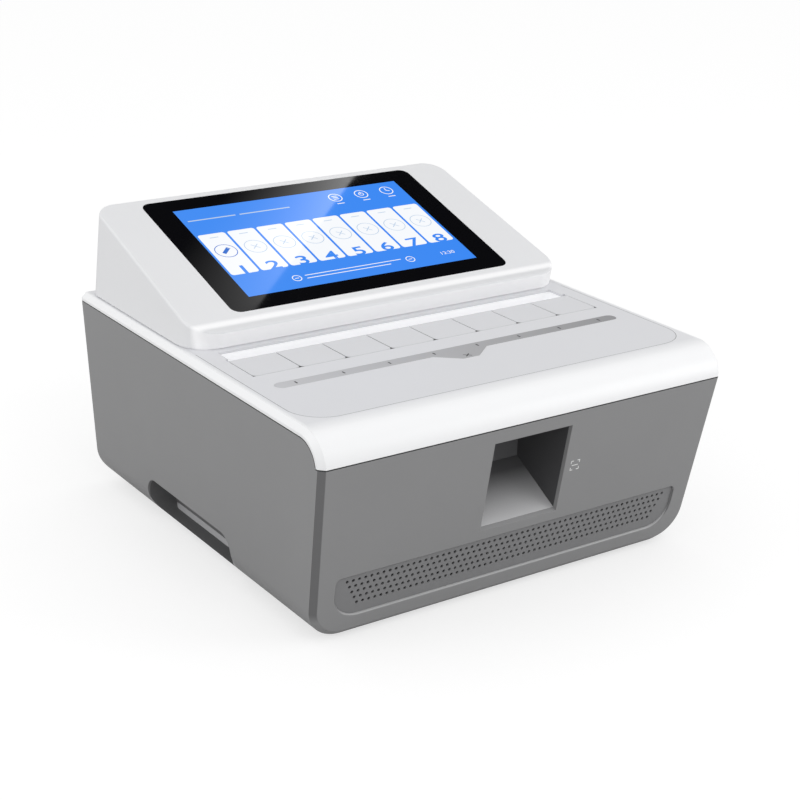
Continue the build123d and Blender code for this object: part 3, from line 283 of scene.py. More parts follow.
def tinted(material, share, colour):
    """Lays a colour over a material's own, where the share says so."""
    tree = material.node_tree
    target = tree.nodes["Principled BSDF"].inputs["Base Color"]
    join(tree, blend(tree, share, target.links[0].from_socket, solid(colour)), target)


def glowing(material, *shares):
    """Paints a little glow on places of a material, as (share, strength): painted light, since the material
    is no lamp.
    """
    tree = material.node_tree
    total = 0.0
    for share, strength in shares:
        total = calc(tree, "ADD", total, calc(tree, "MULTIPLY", share, strength))
    shader = tree.nodes["Principled BSDF"]
    filled(tree, shader, {"Emission Color": grey(1.0), "Emission Strength": total})


print("zone helpers ready")

# %% Painted light and shade on the cover and the wedge
upward_side, underside = (0.0, 0.0, 1.0), (0.0, 0.0, -1.0)
tree = top_white.node_tree
# Painted highlight: the rolled front and the side bands of the top cover are lightened.
rim = either(tree, ramp(tree, "Y", -158.0, -171.0), ramp(tree, "X", 175.5, 178.5, True))
tinted(top_white, rim, (0.96, 0.965, 0.975))

tree = cover_white.node_tree
# Painted shade on the wedge's top at its front edge, a painted highlight band just behind it, and a lightened
# front wall; the band and the wall also glow a little, painted light.
wedge_foot_shade = both(tree, ramp(tree, "Y", 9.5, 5.5), facing(tree, upward_side, 0.0, 0.3))
tinted(cover_white, wedge_foot_shade, (0.775, 0.78, 0.795))
wedge_band_highlight = both(tree, ramp(tree, "Y", 5.5, 9.0), ramp(tree, "Y", 15.0, 11.0))
tinted(cover_white, wedge_band_highlight, (0.97, 0.97, 0.98))
wedge_wall_light = both(tree, ramp(tree, "Y", 9.0, 7.0), facing(tree, underside, -0.35, 0.05))
tinted(cover_white, wedge_wall_light, (0.93, 0.93, 0.94))
glowing(cover_white, (wedge_wall_light, 0.045), (wedge_band_highlight, 0.08))
print("cover and wedge toned")

# %% Painted light and shade on the housing
tree = housing_grey.node_tree
# Painted shade: the corner chamfers between the sides and the front are darkened.
chamfers = facing(tree, (0.707, 0.707, 0.0), 0.90, 0.97, True)
tinted(housing_grey, chamfers, (0.145, 0.145, 0.148))
# Painted shade in the hand grips on both sides, with a painted highlight on the sloping ledge at their foot.
grip_shade = zone(tree, (158.0, 21.0, 24.0), (14.6, 69.5, 19.5), True)
tinted(housing_grey, grip_shade, (0.155, 0.155, 0.158))
ledge_highlight = both(tree, grip_shade, facing(tree, (0.707, 0.0, 0.707), 0.80, 0.92, True))
tinted(housing_grey, ledge_highlight, (0.50, 0.50, 0.51))

# Painted highlight on the lower lip of the intake's mouth and painted shade under its upper lip.
intake = zone(tree, (0.0, -165.0, 33.0), (161.0, 25.0, 22.0))
low_lip_highlight = both(tree, intake, facing(tree, upward_side, 0.15, 0.45))
tinted(housing_grey, low_lip_highlight, (0.42, 0.42, 0.425))
high_lip_shade = both(tree, intake, facing(tree, underside, 0.45, 0.75))
tinted(housing_grey, high_lip_shade, (0.10, 0.10, 0.102))

# Painted shade: a dark line along the seam under the cover, on the front, the sides and round the roll
# between them.
roll_axis = (0.0, -162.06, 144.6)
seam_reach, seam_half = 18.15, 0.5
seam_front = zone(tree, (0.0, -187.0, 145.85), (190.0, 7.0, 0.55))
seam_side = zone(tree, (0.0, 13.0, 162.75), (190.0, 175.0, seam_half))
from_roll = vector(tree, "SUBTRACT", on_object(tree), tuple(v * mm for v in roll_axis))[0]
in_section = vector(tree, "MULTIPLY", from_roll, (0.0, 1.0, 1.0))[0]
reach = vector(tree, "LENGTH", in_section)["Value"]
near_seam = calc(tree, "COMPARE", reach, seam_reach * mm, seam_half * mm)
seam_roll = both(tree, near_seam, zone(tree, (0.0, -172.0, 156.0), (190.0, 10.0, 9.6)))
seam_shade = either(tree, either(tree, seam_front, seam_side), seam_roll)
tinted(housing_grey, seam_shade, (0.03, 0.03, 0.03))
print("housing toned")

# %% Painted light and shade in the funnel and the tray
tree = funnel_grey.node_tree
# Painted light on the funnel floor near its mouth and painted shade on its walls, so that the funnel darkens
# towards its window.
funnel_floor_light = both(tree, ramp(tree, "Y", -140.0, -171.0), facing(tree, upward_side, 0.4, 0.6))
tinted(funnel_grey, funnel_floor_light, (0.56, 0.56, 0.57))
funnel_wall_shade = facing(tree, (1.0, 0.0, 0.0), 0.6, 0.8, True)
tinted(funnel_grey, funnel_wall_shade, (0.060, 0.060, 0.063))

tree = inner_white.node_tree
# Painted shade: the wells under the lids are made black. Painted light: the trough behind them glows a
# little.
wells = zone(tree, (0.0, -43.0, 160.0), (170.0, 19.5, 20.0))
tinted(inner_white, wells, (0.03, 0.03, 0.032))
trough_glow = zone(tree, (0.0, -11.0, 160.0), (170.0, 12.0, 12.0))
glowing(inner_white, (trough_glow, 0.15))
print("funnel and tray toned")

# %% [markdown]
# The other finishes are simpler. Sheet steel has a zinc bloom, machined
# aluminium a fine grain drawn out along X. Glass is a black print with a hard
# gloss, because that is all the eye can see of a touch panel's border.

# %% Metal and glass
def bare_metal(name, colour, roughness, stretch=(1, 1, 1), scale=600.0, spangle=0.0):
    """Metal with a drawn grain. The stretch makes the grain longer along one axis."""
    material, tree, shader = new_material(name)
    place = on_object(tree)
    drawn = add(tree, "ShaderNodeMapping", {"Scale": stretch}, {"Vector": place})
    grain = noise(tree, drawn.outputs["Vector"], scale, 4.0)
    bloom = add(tree, "ShaderNodeTexVoronoi", {"Scale": 160.0}, {"Vector": place})
    low = solid([c * (1 - spangle) for c in colour])
    join(tree, blend(tree, bloom.outputs["Distance"], low, solid(colour)), shader.inputs["Base Color"])
    gloss = spread(tree, grain, *noise_band, roughness - 0.08, roughness + 0.08)
    join(tree, gloss, shader.inputs["Roughness"])
    bumped(tree, shader, grain, 0.4, 0.006)
    shader.inputs["Metallic"].default_value = 1.0
    return material


def glossy(name, colour, roughness, specks):
    """A hard gloss skin with the faintest unevenness."""
    material, tree, shader = new_material(name)
    slow = noise(tree, on_object(tree), 40.0)
    low = solid([c * (1 - specks) for c in colour])
    join(tree, blend(tree, slow, low, solid(colour)), shader.inputs["Base Color"])
    join(tree, spread(tree, slow, *noise_band, roughness, roughness + 0.03), shader.inputs["Roughness"])
    return material


sheet_steel = bare_metal("sheet steel", (0.60, 0.61, 0.62), 0.42, spangle=0.12)
screw_steel = bare_metal("screw steel", (0.55, 0.55, 0.56), 0.32, scale=900.0)
rod_steel = bare_metal("rod steel", (0.66, 0.66, 0.67), 0.22, stretch=(1, 12, 12), scale=300.0)
machined = bare_metal("machined aluminium", (0.80, 0.80, 0.81), 0.30, stretch=(0.06, 1, 1), scale=1400.0)
glass_tone, screen_specular = (0.004, 0.004, 0.005), 0.22
touch_black = glossy("touch glass", glass_tone, 0.03, 0.1)
touch_black.node_tree.nodes["Principled BSDF"].inputs["Specular IOR Level"].default_value = screen_specular
circuit_green = glossy("circuit green", (0.02, 0.16, 0.07), 0.25, 0.3)
window_tint = glossy("window tint", (0.13, 0.13, 0.135), 0.05, 0.1)
print("all finishes so far:", len(bpy.data.materials))

# %% [markdown]
# The screen gives off its own light, so its picture is drawn with emission. The
# shader keeps the gloss of the glass, so the picture and the black border
# take the same reflection. The blue field is a slow gradient, the rest is flat.
# The light bar is a frosted strip. In the photograph it is brighter at the
# left and darker at the right, so its tone runs along X too.

# %% Lit picture and frosted light bar
active_half = 109.0
bar_half = 157.0


def run_across(tree, half, left, right):
    """A colour that runs from left to right over a piece."""
    share = spread(tree, coordinate(tree, "X"), -half * mm, half * mm)
    return blend(tree, share, solid(left), solid(right))


def lit(name, colour, second=None):
    """A lit part of the picture, seen through glossy glass."""
    material, tree, shader = new_material(name)
    filled(tree, shader, {
        "Emission Color": run_across(tree, active_half, colour, second or colour), "Emission Strength": 1.0,
        "Base Color": solid(glass_tone), "Roughness": 0.04, "Specular IOR Level": screen_specular,
    })
    return material


picture_blue = lit("picture blue", (0.060, 0.270, 0.900), second=(0.045, 0.250, 0.900))
picture_white = lit("picture white", (0.93, 0.95, 0.98))
picture_pale = lit("picture pale", (0.52, 0.64, 0.80))
picture_deep = lit("picture deep blue", (0.030, 0.160, 0.620))

bar_frost, tree, shader = new_material("frosted bar")
bar_tone = run_across(tree, bar_half, (0.54, 0.54, 0.56), (0.24, 0.24, 0.252))
filled(tree, shader, {"Base Color": bar_tone, "Roughness": 0.3})
bumped(tree, shader, noise(tree, on_object(tree), 1500.0), 0.2, 0.01)
print("picture colours and light bar ready")

# %% [markdown]
# Now the plain work: every CAD node gets its finish. A table of finishes and
# node names is easier to read, and to change, than one line for each node.

# %% Finishes of the CAD nodes
lane_count = 8
lanes = range(1, lane_count + 1)
finishes = {
    deck_grey: ["deck_panel"],
    inner_white: ["lane_tray"],
    rod_steel: ["hinge_rod"],
    black_plastic: ["lid_latches", "scanner_module", "optics_modules", "power_inlet", "switch_frame",
                    "switch_rocker", "fan_frame", "fan_rotor"],
    circuit_green: ["status_light_board", "main_board"],
    touch_black: ["display_glass", "display_module"],
    window_tint: ["scan_window"],
    sheet_steel: ["display_bracket", "chassis_plate", "support_frame", "power_supply", "rear_ports"],
    screw_steel: ["display_screws", "chassis_screws", "panel_screws", "foot_screws", "case_screws"],
    ceramic: ["peltier_modules"],
    machined: ["heat_sink"] + [f"thermal_block_{k}" for k in lanes],
    foot_rubber: ["rubber_feet"],
    rear_paint: ["rear_panel"],
    housing_grey: ["lower_housing"],
    top_white: ["top_cover"],
    cover_white: ["display_housing"],
    funnel_grey: ["scan_funnel"],
    grille_grey: ["grille_panel"],
    bar_frost: ["status_bar"],
    lid_grey: [f"lane_lid_{k}" for k in lanes],
    silicone: [f"lid_pad_{k}" for k in lanes],
}


def paint(piece, material):
    """Gives a piece one material."""
    piece.data.materials.clear()
    piece.data.materials.append(material)
    for face in piece.data.polygons:
        face.material_index = 0


for material, names in finishes.items():
    for name in names:
        paint(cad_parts[name], material)
print("painted", sum(len(names) for names in finishes.values()), "of", len(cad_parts), "nodes")

# %% [markdown]
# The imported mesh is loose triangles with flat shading. On the large curved
# shells that would show as bands, so each of them gets a dressed copy: its
# doubles are merged, its soft edges shaded smooth, and its normals weighted by
# area, so that a flat face stays flat up to a fillet.

# %% Smooth copies of the shells
shell_merge = 0.002
sharp_from = 32.0
area_weight = 80


def plain_mesh(piece):
    """The finished mesh of a piece, with its modifiers worked in."""
    return bpy.data.meshes.new_from_object(piece.evaluated_get(bpy.context.evaluated_depsgraph_get()))


def placed(name, data):
    """A new object in the scene for some data."""
    piece = bpy.data.objects.new(name, data)
    scene.collection.objects.link(piece)
    return piece


def merged(piece, distance, outwards=False):
    """Merges doubles within some millimetres and, if asked, turns every face outwards."""
    edit = bmesh.new()
    edit.from_mesh(piece.data)
    bmesh.ops.remove_doubles(edit, verts=edit.verts, dist=distance * mm)
    if outwards:
        bmesh.ops.recalc_face_normals(edit, faces=edit.faces)
    edit.to_mesh(piece.data)
    edit.free()
    return piece


def smooth_copy(node, body):
    """A merged, smooth-shaded piece that stands for a CAD node."""
    piece = merged(placed("shell_" + node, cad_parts[node].data.copy()), shell_merge)
    attributes = piece.data.attributes
    attributes.active = None
    if "custom_normal" in attributes:
        attributes.remove(attributes["custom_normal"])
    for face in piece.data.polygons:
        face.use_smooth = True
    piece.data.set_sharp_from_angle(angle=radians(sharp_from))
    weighted = piece.modifiers.new("weighted", "WEIGHTED_NORMAL")
    weighted.keep_sharp = True
    weighted.weight = area_weight
    plain = plain_mesh(piece)
    piece.modifiers.clear()
    piece.data = plain
    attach(piece, body)
    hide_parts(node)
    return piece


shells = [
    smooth_copy("lower_housing", "housing"),
    smooth_copy("top_cover", "housing"),
    smooth_copy("display_housing", "housing"),
    smooth_copy("scan_funnel", "housing"),
    smooth_copy("status_bar", "housing"),
    smooth_copy("fan_rotor", "fan_wheel"),
]
for piece in shells:
    print(piece.name, len(piece.data.polygons), "faces")

# %% [markdown]
# What repeats is made with Geometry Nodes. These helpers build a node group
# with named inputs in the script, run it as a modifier on a base object, and
# keep only the finished plain mesh. The inputs are set by their identifiers.

# %% Helpers for Geometry Nodes
def new_group(name, inputs):
    """A geometry node group, its input sockets and its end. The inputs are (label, kind, value)."""
    group = bpy.data.node_groups.new(name, "GeometryNodeTree")
    group.interface.new_socket("Geometry", in_out="INPUT", socket_type="NodeSocketGeometry")
    for label, kind, value in inputs:
        socket = group.interface.new_socket(label, in_out="INPUT", socket_type="NodeSocket" + kind)
        if value is not None:
            socket.default_value = value
    group.interface.new_socket("Geometry", in_out="OUTPUT", socket_type="NodeSocketGeometry")
    return group, group.nodes.new("NodeGroupInput").outputs, group.nodes.new("NodeGroupOutput")


def finish_group(group, end, geometry, material_socket):
    """Ends a tree in Realize Instances and Set Material."""
    real = add(group, "GeometryNodeRealizeInstances", links={"Geometry": geometry})
    dressed = add(group, "GeometryNodeSetMaterial",
                  links={"Geometry": real.outputs["Geometry"], "Material": material_socket})
    join(group, dressed.outputs["Geometry"], end.inputs["Geometry"])
    return group


def grow(name, group, values, base=None):
    """Runs a node group on a base object and keeps its result as a plain mesh piece."""
    base = base or placed(name, bpy.data.meshes.new(name))
    modifier = base.modifiers.new("nodes", "NODES")
    modifier.node_group = group
    ids = {item.name: item.identifier for item in group.interface.items_tree if item.in_out == "INPUT"}
    for label, value in values.items():
        modifier[ids[label]] = value
    base.update_tag()
    plain = plain_mesh(base)
    plain.name = name
    bpy.data.objects.remove(base)
    return placed(name, plain)


def seat(piece, body, slot_name, *nodes):
    """Puts a finished piece on its body and hides the CAD nodes it stands for. The slot name is not used."""
    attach(piece, body)
    if nodes:
        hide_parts(*nodes)
    return piece


def mesh_from(name, points, faces=()):
    """A mesh object from plain lists."""
    data = bpy.data.meshes.new(name)
    data.from_pydata([tuple(p) for p in points], [], [tuple(f) for f in faces])
    return placed(name, data)


def shifted(piece, offset, turn=Matrix()):
    """Moves a piece's own points by an offset in metres, after a turn if one is given."""
    piece.data.transform(Matrix.Translation(offset) @ turn)
    return piece


def turn_to(up, out):
    """The turn that takes a flat drawing's own up and out to these two."""
    return Matrix(((1, 0, 0, 0), (0, up.y, out.y, 0), (0, up.z, out.z, 0), (0, 0, 0, 1)))


print("geometry helpers ready")

# %% [markdown]
# The intake is a thin plate with five rows of round holes, each row one hole
# shorter than the one above it. The plate's outline is a curve, because Fill
# Curve turns an outline and the circles inside it into one face with holes, and
# Extrude Mesh gives that face its thickness. The holes are then open in truth.

# %% Perforated intake
front_rake = radians(10.5)
seam_height = 146.3
front_seam = Vector((0, -187.0, seam_height)) * mm
along_front = Vector((0, sin(front_rake), -cos(front_rake)))
into_body = Vector((0, cos(front_rake), sin(front_rake)))
front_turn = turn_to(-along_front, -into_body)


def on_front(x, down, depth=0.0):
    """A point of the front face: millimetres across, down the slope and into the body."""
    return front_seam + Vector((x * mm, 0, 0)) + along_front * down * mm + into_body * depth * mm


print("front plane from", tuple(on_front(0, 0)), "to", tuple(on_front(0, 140)))

# %% Outlines
grille_half = 156.35
grille_top = (52.2 - seam_height) / cos(front_rake)
grille_bottom = (18.6 - seam_height) / cos(front_rake)
grille_top_radius = 3.35
grille_low_radius = 20.65


def arc(centre_x, centre_y, radius, start, end, steps):
    """Points of an arc, in degrees, ends included."""
    turns = [radians(start + (end - start) * k / steps) for k in range(steps + 1)]
    return [(centre_x + radius * cos(t), centre_y + radius * sin(t)) for t in turns]


def with_mirror(points):
    """Goes on from the last point with the same points on the other side of X."""
    return points + [(-x, y) for x, y in reversed(points)]


def rounded_outline(half, low, high, low_radius, high_radius, steps=10):
    """A closed outline with one radius for its lower corners and one for its upper ones."""
    right_side = arc(half - low_radius, low + low_radius, low_radius, -90, 0, steps)
    right_side += arc(half - high_radius, high - high_radius, high_radius, 0, 90, steps)
    return with_mirror(right_side)


def outline_curve(name, points):
    """A closed flat curve, in metres, as the base object of a node group."""
    data = bpy.data.curves.new(name, "CURVE")
    data.dimensions = "2D"
    data.fill_mode = "NONE"
    spline = data.splines.new("POLY")
    spline.points.add(len(points) - 1)
    for place, (x, y) in zip(spline.points, points):
        place.co = (x * mm, y * mm, 0, 1)
    spline.use_cyclic_u = True
    return placed(name, data)


print("outline of the plate:", 2 * grille_half, "by", round(grille_top - grille_bottom, 1), "mm")

# %% Perforated plate
plate_depth = 1.8
plate_thickness = 1.2
plate_margin = 4.9
holes = {"Holes in first row": 58, "Rows": 5, "Hole pitch": 5.15 * mm, "Row pitch": 5.0 * mm,
         "First row": (grille_top - plate_margin) * mm, "Hole radius": 1.28 * mm, "Hole sides": 12,
         "Thickness": plate_thickness * mm}


def joined(group, *geometries):
    """Several geometries as one."""
    node = add(group, "GeometryNodeJoinGeometry")
    for geometry in geometries:
        join(group, geometry, node.inputs[0])
    return node.outputs[0]


def perforation_group():
    """Rows of round holes cut in an outline, each row one hole shorter, then given a thickness."""
    sockets = [(label, "Int" if isinstance(value, int) else "Float", value) for label, value in holes.items()]
    group, at, end = new_group("perforations", sockets + [("Material", "Material", None)])
    per_row = at["Holes in first row"]
    cloud = add(group, "GeometryNodePoints", links={"Count": calc(group, "MULTIPLY", per_row, at["Rows"])})
    index = add(group, "GeometryNodeInputIndex").outputs[0]
    row = calc(group, "FLOOR", calc(group, "DIVIDE", index, per_row))
    column = calc(group, "MODULO", index, per_row)
    last = calc(group, "SUBTRACT", calc(group, "SUBTRACT", per_row, row), 1.0)
    from_middle = calc(group, "SUBTRACT", column, calc(group, "MULTIPLY", last, 0.5))
    x = calc(group, "MULTIPLY", from_middle, at["Hole pitch"])
    y = calc(group, "SUBTRACT", at["First row"], calc(group, "MULTIPLY", row, at["Row pitch"]))
    place = add(group, "ShaderNodeCombineXYZ", links={"X": x, "Y": y})
    put = add(group, "GeometryNodeSetPosition",
              links={"Geometry": cloud.outputs[0], "Position": place.outputs[0]})
    beyond = calc(group, "GREATER_THAN", column, last)
    kept = add(group, "GeometryNodeDeleteGeometry",
               links={"Geometry": put.outputs[0], "Selection": beyond}, domain="POINT")
    circle = add(group, "GeometryNodeCurvePrimitiveCircle",
                 links={"Resolution": at["Hole sides"], "Radius": at["Hole radius"]})
    circles = add(group, "GeometryNodeInstanceOnPoints",
                  links={"Points": kept.outputs[0], "Instance": circle.outputs[0]})
    real = add(group, "GeometryNodeRealizeInstances", links={"Geometry": circles.outputs[0]})
    face = add(group, "GeometryNodeFillCurve", mode="TRIANGLES",
               links={"Curve": joined(group, at["Geometry"], real.outputs[0])})
    down = add(group, "ShaderNodeCombineXYZ", links={"Z": calc(group, "MULTIPLY", at["Thickness"], -1.0)})
    thick = add(group, "GeometryNodeExtrudeMesh", {"Individual": False},
                {"Mesh": face.outputs[0], "Offset": down.outputs[0]}, mode="FACES")
    front = add(group, "GeometryNodeFlipFaces", links={"Mesh": face.outputs[0]})
    closed = add(group, "GeometryNodeMergeByDistance", {"Distance": 0.01 * mm},
                 {"Geometry": joined(group, thick.outputs["Mesh"], front.outputs[0])})
    return finish_group(group, end, closed.outputs[0], at["Material"])


plate = grow(
    "perforated_plate", perforation_group(), {**holes, "Material": grille_grey},
    outline_curve("perforated_plate_outline", rounded_outline(
        grille_half, grille_bottom, grille_top, grille_low_radius, grille_top_radius)),
)
plate_merge = 0.001
shifted(plate, on_front(0, 0, plate_depth), front_turn)
seat(merged(plate, plate_merge, outwards=True), "housing", "grille_grey", "grille_panel")
print("perforated plate:", len(plate.data.polygons), "faces, box", [round(v, 4) for v in plate.dimensions])

# %% [markdown]
# Behind the plate lies a thin near-black sheet, held by the plate's rim. Its black
# is painted shade for the dark inside of the housing: it is why the holes look
# black. It also keeps light from showing through from the rear slots.

# %% Sheet of painted shade behind the intake
sheet_inset, sheet_gap, sheet_thickness = 0.5, 0.05, 1.2
sheet_front = plate_depth + plate_thickness + sheet_gap
sheet_outline = rounded_outline(grille_half - sheet_inset, grille_bottom + sheet_inset,
                                 grille_top - sheet_inset, grille_low_radius, grille_top_radius)
count = len(sheet_outline)
sheet_points = [on_front(x, -y, depth) for depth in (sheet_front, sheet_front + sheet_thickness)
                 for x, y in sheet_outline]
sheet_faces = [list(range(count)), list(range(2 * count - 1, count - 1, -1))]
sheet_faces += [[k, (k + 1) % count, count + (k + 1) % count, count + k] for k in range(count)]
intake_shade_sheet = mesh_from("intake_shade_sheet", sheet_points, sheet_faces)
paint(intake_shade_sheet, shade_sheet_black)
seat(merged(intake_shade_sheet, plate_merge, outwards=True), "housing", "black_plastic")
print("intake shade sheet:", len(intake_shade_sheet.data.polygons), "faces")

# %% [markdown]
# The picture on the touch panel is drawn as thin layers a few hundredths of a
# millimetre apart, just over the glass: a blue field, eight white cards, a
# digit for each lane, and a few plain signs. The cards are one rounded
# rectangle repeated along a line, so Geometry Nodes make them.

# %% Picture: places on the glass
deck_level = 169.6
screen_tilt = radians(17.07)
screen_foot = Vector((0, 36.66, 195.06)) * mm
up_screen = Vector((0, cos(screen_tilt), sin(screen_tilt)))
off_screen = Vector((0, -sin(screen_tilt), cos(screen_tilt)))
screen_turn = turn_to(up_screen, off_screen)
active_height = 132.2
glass_depth = 0.1
layer = 0.02
field_layer, card_layer, sign_layer = 1, 2, 3
card_width = 24.8
card_pitch = 27.0
card_low = 31.0
card_high = 92.4
card_centre = -0.2
card_round = 2.6


def on_deck(piece, slot_name, lift, y=0.0):
    """Lays a flat piece, drawn in metres on XY, some millimetres over the deck."""
    shifted(piece, Vector((0, y, deck_level + lift)) * mm)
    return seat(piece, "housing", slot_name)


def to_screen(piece, level):
    """Lays a flat piece, drawn in metres on XY, on the glass at a layer."""
    shifted(piece, screen_foot + off_screen * (layer * level - glass_depth) * mm, screen_turn)
    return seat(piece, "housing", "screen_panel")


def flat_piece(name, outlines, material):
    """Flat faces from lists of outlines in millimetres."""
    points, faces = [], []
    for outline in outlines:
        faces.append(range(len(points), len(points) + len(outline)))
        points += [Vector((x, y, 0)) * mm for x, y in outline]
    piece = mesh_from(name, points, faces)
    paint(piece, material)
    return piece


field = [(-active_half, 0), (active_half, 0), (active_half, active_height), (-active_half, active_height)]
to_screen(flat_piece("picture_field", [field], picture_blue), field_layer)
print("picture field laid on the glass")

# %% Picture: eight cards
def card_group():
    """A row of rounded cards, filled flat."""
    group, at, end = new_group("lane cards", [
        ("Count", "Int", lane_count), ("Pitch", "Float", card_pitch * mm),
        ("Width", "Float", card_width * mm), ("Height", "Float", (card_high - card_low) * mm),
        ("Corner", "Float", card_round * mm), ("First", "Vector", (0, 0, 0)), ("Material", "Material", None),
    ])
    step = add(group, "ShaderNodeCombineXYZ", links={"X": at["Pitch"]})
    line = add(group, "GeometryNodeMeshLine", links={
        "Count": at["Count"], "Start Location": at["First"], "Offset": step.outputs[0]})
    card = add(group, "GeometryNodeCurvePrimitiveQuadrilateral",
               links={"Width": at["Width"], "Height": at["Height"]})
    soft = add(group, "GeometryNodeFilletCurve", {"Count": 6},
               {"Curve": card.outputs[0], "Radius": at["Corner"]}, mode="POLY")
    face = add(group, "GeometryNodeFillCurve", links={"Curve": soft.outputs[0]}, mode="NGONS")
    cards = add(group, "GeometryNodeInstanceOnPoints",
                links={"Points": line.outputs[0], "Instance": face.outputs[0]})
    return finish_group(group, end, cards.outputs[0], at["Material"])


def card_x(lane):
    """The middle of a lane's card. The lanes count from nought."""
    return card_centre + (lane - (lane_count - 1) / 2) * card_pitch


cards = grow("picture_cards", card_group(), {
    "Count": lane_count, "Pitch": card_pitch * mm, "Width": card_width * mm,
    "Height": (card_high - card_low) * mm, "Corner": card_round * mm, "Material": picture_white,
    "First": (card_x(0) * mm, (card_low + card_high) / 2 * mm, 0.0),
})
to_screen(cards, card_layer)
print("cards:", len(cards.data.polygons))

# %% [markdown]
# The digits come from Blender's own typeface, made wide and heavy. Each is a
# text object turned into a mesh before it is laid on the glass. Rings, dashes
# and crosses are flat strips made from their own few points.

# %% Helpers for digits and signs
def text_piece(name, words, size, x, y, material, wide=1.0, heavy=0.0):
    """A flat text as a mesh, centred on a place in millimetres."""
    data = bpy.data.curves.new(name, "FONT")
    data.body = words
    data.size = size * mm
    data.align_x = "CENTER"
    data.offset = heavy * mm
    text = placed(name + "_text", data)
    plain = plain_mesh(text)
    bpy.data.objects.remove(text)
    piece = shifted(placed(name, plain), (x * mm, y * mm, 0), Matrix.Diagonal((wide, 1, 1, 1)))
    paint(piece, material)
    return piece


def strip(first, second):
    """Quads between two lines of points."""
    return [[first[k], first[k + 1], second[k + 1], second[k]] for k in range(len(first) - 1)]


def ring(x, y, outer, inner, steps=40):
    """A flat ring as quads."""
    return strip(arc(x, y, outer, 0, 360, steps), arc(x, y, inner, 0, 360, steps))


def stroke(x0, y0, x1, y1, width):
    """A straight stroke as one quad."""
    length = hypot(x1 - x0, y1 - y0)
    nx, ny = -(y1 - y0) / length * width / 2, (x1 - x0) / length * width / 2
    return [(x0 - nx, y0 - ny), (x1 - nx, y1 - ny), (x1 + nx, y1 + ny), (x0 + nx, y0 + ny)]


def dash(x, half, y, width):
    """A level stroke about its middle."""
    return stroke(x - half, y, x + half, y, width)


print("text, ring and stroke ready")

# %% Picture: digits and lane marks
digit_size, digit_wide, digit_heavy = 17.0, 1.45, 0.25
ring_level, dash_level = 65.5, 86.5
pale_marks, deep_marks = [], []
for lane in range(lane_count):
    digit = text_piece(f"picture_digit_{lane + 1}", str(lane + 1), digit_size, card_x(lane) + 1.0,
                       card_low - 0.2, picture_blue, digit_wide, digit_heavy)
    to_screen(digit, sign_layer)
    x = card_x(lane) + 0.3
    if lane == 0:
        deep_marks += ring(x, ring_level, 9.6, 8.9)
        deep_marks += [stroke(x - 3.4, 62.2, x + 3.0, 68.4, 3.4), stroke(x + 2.2, 70.2, x + 4.8, 67.6, 1.0)]
    else:
        pale_marks += ring(x, ring_level, 9.6, 8.9)
        pale_marks += [stroke(x - 3, 62.5, x + 3, 68.5, 0.8), stroke(x - 3, 68.5, x + 3, 62.5, 0.8)]
    pale_marks += [dash(x, 4, dash_level, 1.0)]
to_screen(flat_piece("picture_marks_pale", pale_marks, picture_pale), sign_layer)
to_screen(flat_piece("picture_marks_deep", deep_marks, picture_deep), sign_layer)
print("lane marks:", len(pale_marks) + len(deep_marks), "quads")

# %% Picture: signs, title and clock
list_x, lamp_x, time_x = 40.2, 66.6, 92.8
sign_level, word_level, foot_level, title_level = 119.0, 109.2, 13.4, 114.5
signs = []
for x in (list_x, lamp_x, time_x):
    signs += ring(x, sign_level, 6.4, 5.5) + [dash(x, 3.6, word_level, 1.1)]
signs += [dash(list_x, 2.6, sign_level + rise, 0.9) for rise in (2.4, 0.0, -2.4)]
signs += ring(lamp_x, sign_level, 2.6, 1.8, steps=20)
signs += [stroke(lamp_x, sign_level, lamp_x, sign_level + 3.8, 0.8)]
signs += [stroke(time_x, sign_level, time_x, sign_level + 4.0, 0.9)]
signs += [stroke(time_x, sign_level, time_x + 3.0, sign_level - 1.0, 0.9)]
for x in (-58.2, 50.4):
    signs += ring(x, foot_level, 4.2, 3.4, steps=28) + [dash(x, 1.8, foot_level, 0.8)]
signs += [stroke(-50, foot_level + 2.0, 42, foot_level + 2.0, 0.9)]
signs += [stroke(-50, foot_level - 2.2, 30, foot_level - 2.2, 0.9)]
title = [dash(-82, 22, title_level, 1.4), dash(-32, 24, title_level, 1.4)]
to_screen(flat_piece("picture_title", title, picture_pale), sign_layer)
to_screen(flat_piece("picture_signs", signs, picture_white), sign_layer)
to_screen(text_piece("picture_clock", "12:30", 6.0, 88.0, 12.0, picture_white, wide=1.1), sign_layer)
print("signs:", len(signs), "quads")

# %% [markdown]
# The bar carries a small dark mark for each lane, where its light shows, and
# the tab in its middle a small cross. The marks are one short rounded dash
# repeated along a line by the same node group as the cards.

# %% Marks on the light bar
mark_lift = 0.03
lane_pitch = 40.0
marks = grow("lane_marks", card_group(), {
    "Count": lane_count, "Pitch": lane_pitch * mm, "Width": 1.3 * mm, "Height": 4.2 * mm,
    "Corner": 0.6 * mm, "Material": port_dark,
    "First": (-140 * mm, -86.2 * mm, (deck_level + mark_lift) * mm),
})
seat(marks, "housing", "light_bar")

cross_strokes = [stroke(-2.6, -2.2, 2.6, 2.2, 0.9), stroke(-2.6, 2.2, 2.6, -2.2, 0.9)]
cross = flat_piece("tab_cross", cross_strokes, port_dark)
on_deck(cross, "light_bar", mark_lift, -101.2)
print("marks on the bar:", len(marks.data.polygons))

# %% [markdown]
# Under the gaps between the lids lies a thin dark sheet of painted shade, which
# widens between their round front corners, and a fine dark line of painted
# shade runs in the groove round the inlaid panel.

# %% Painted shade in the gaps between the lids
lid_gap_half, end_gap_half, lid_round = 0.30, 0.15, 3.5
lid_front_edge, shade_front, shade_back = -60.2, -60.55, -26.0
shade_drop = 0.25

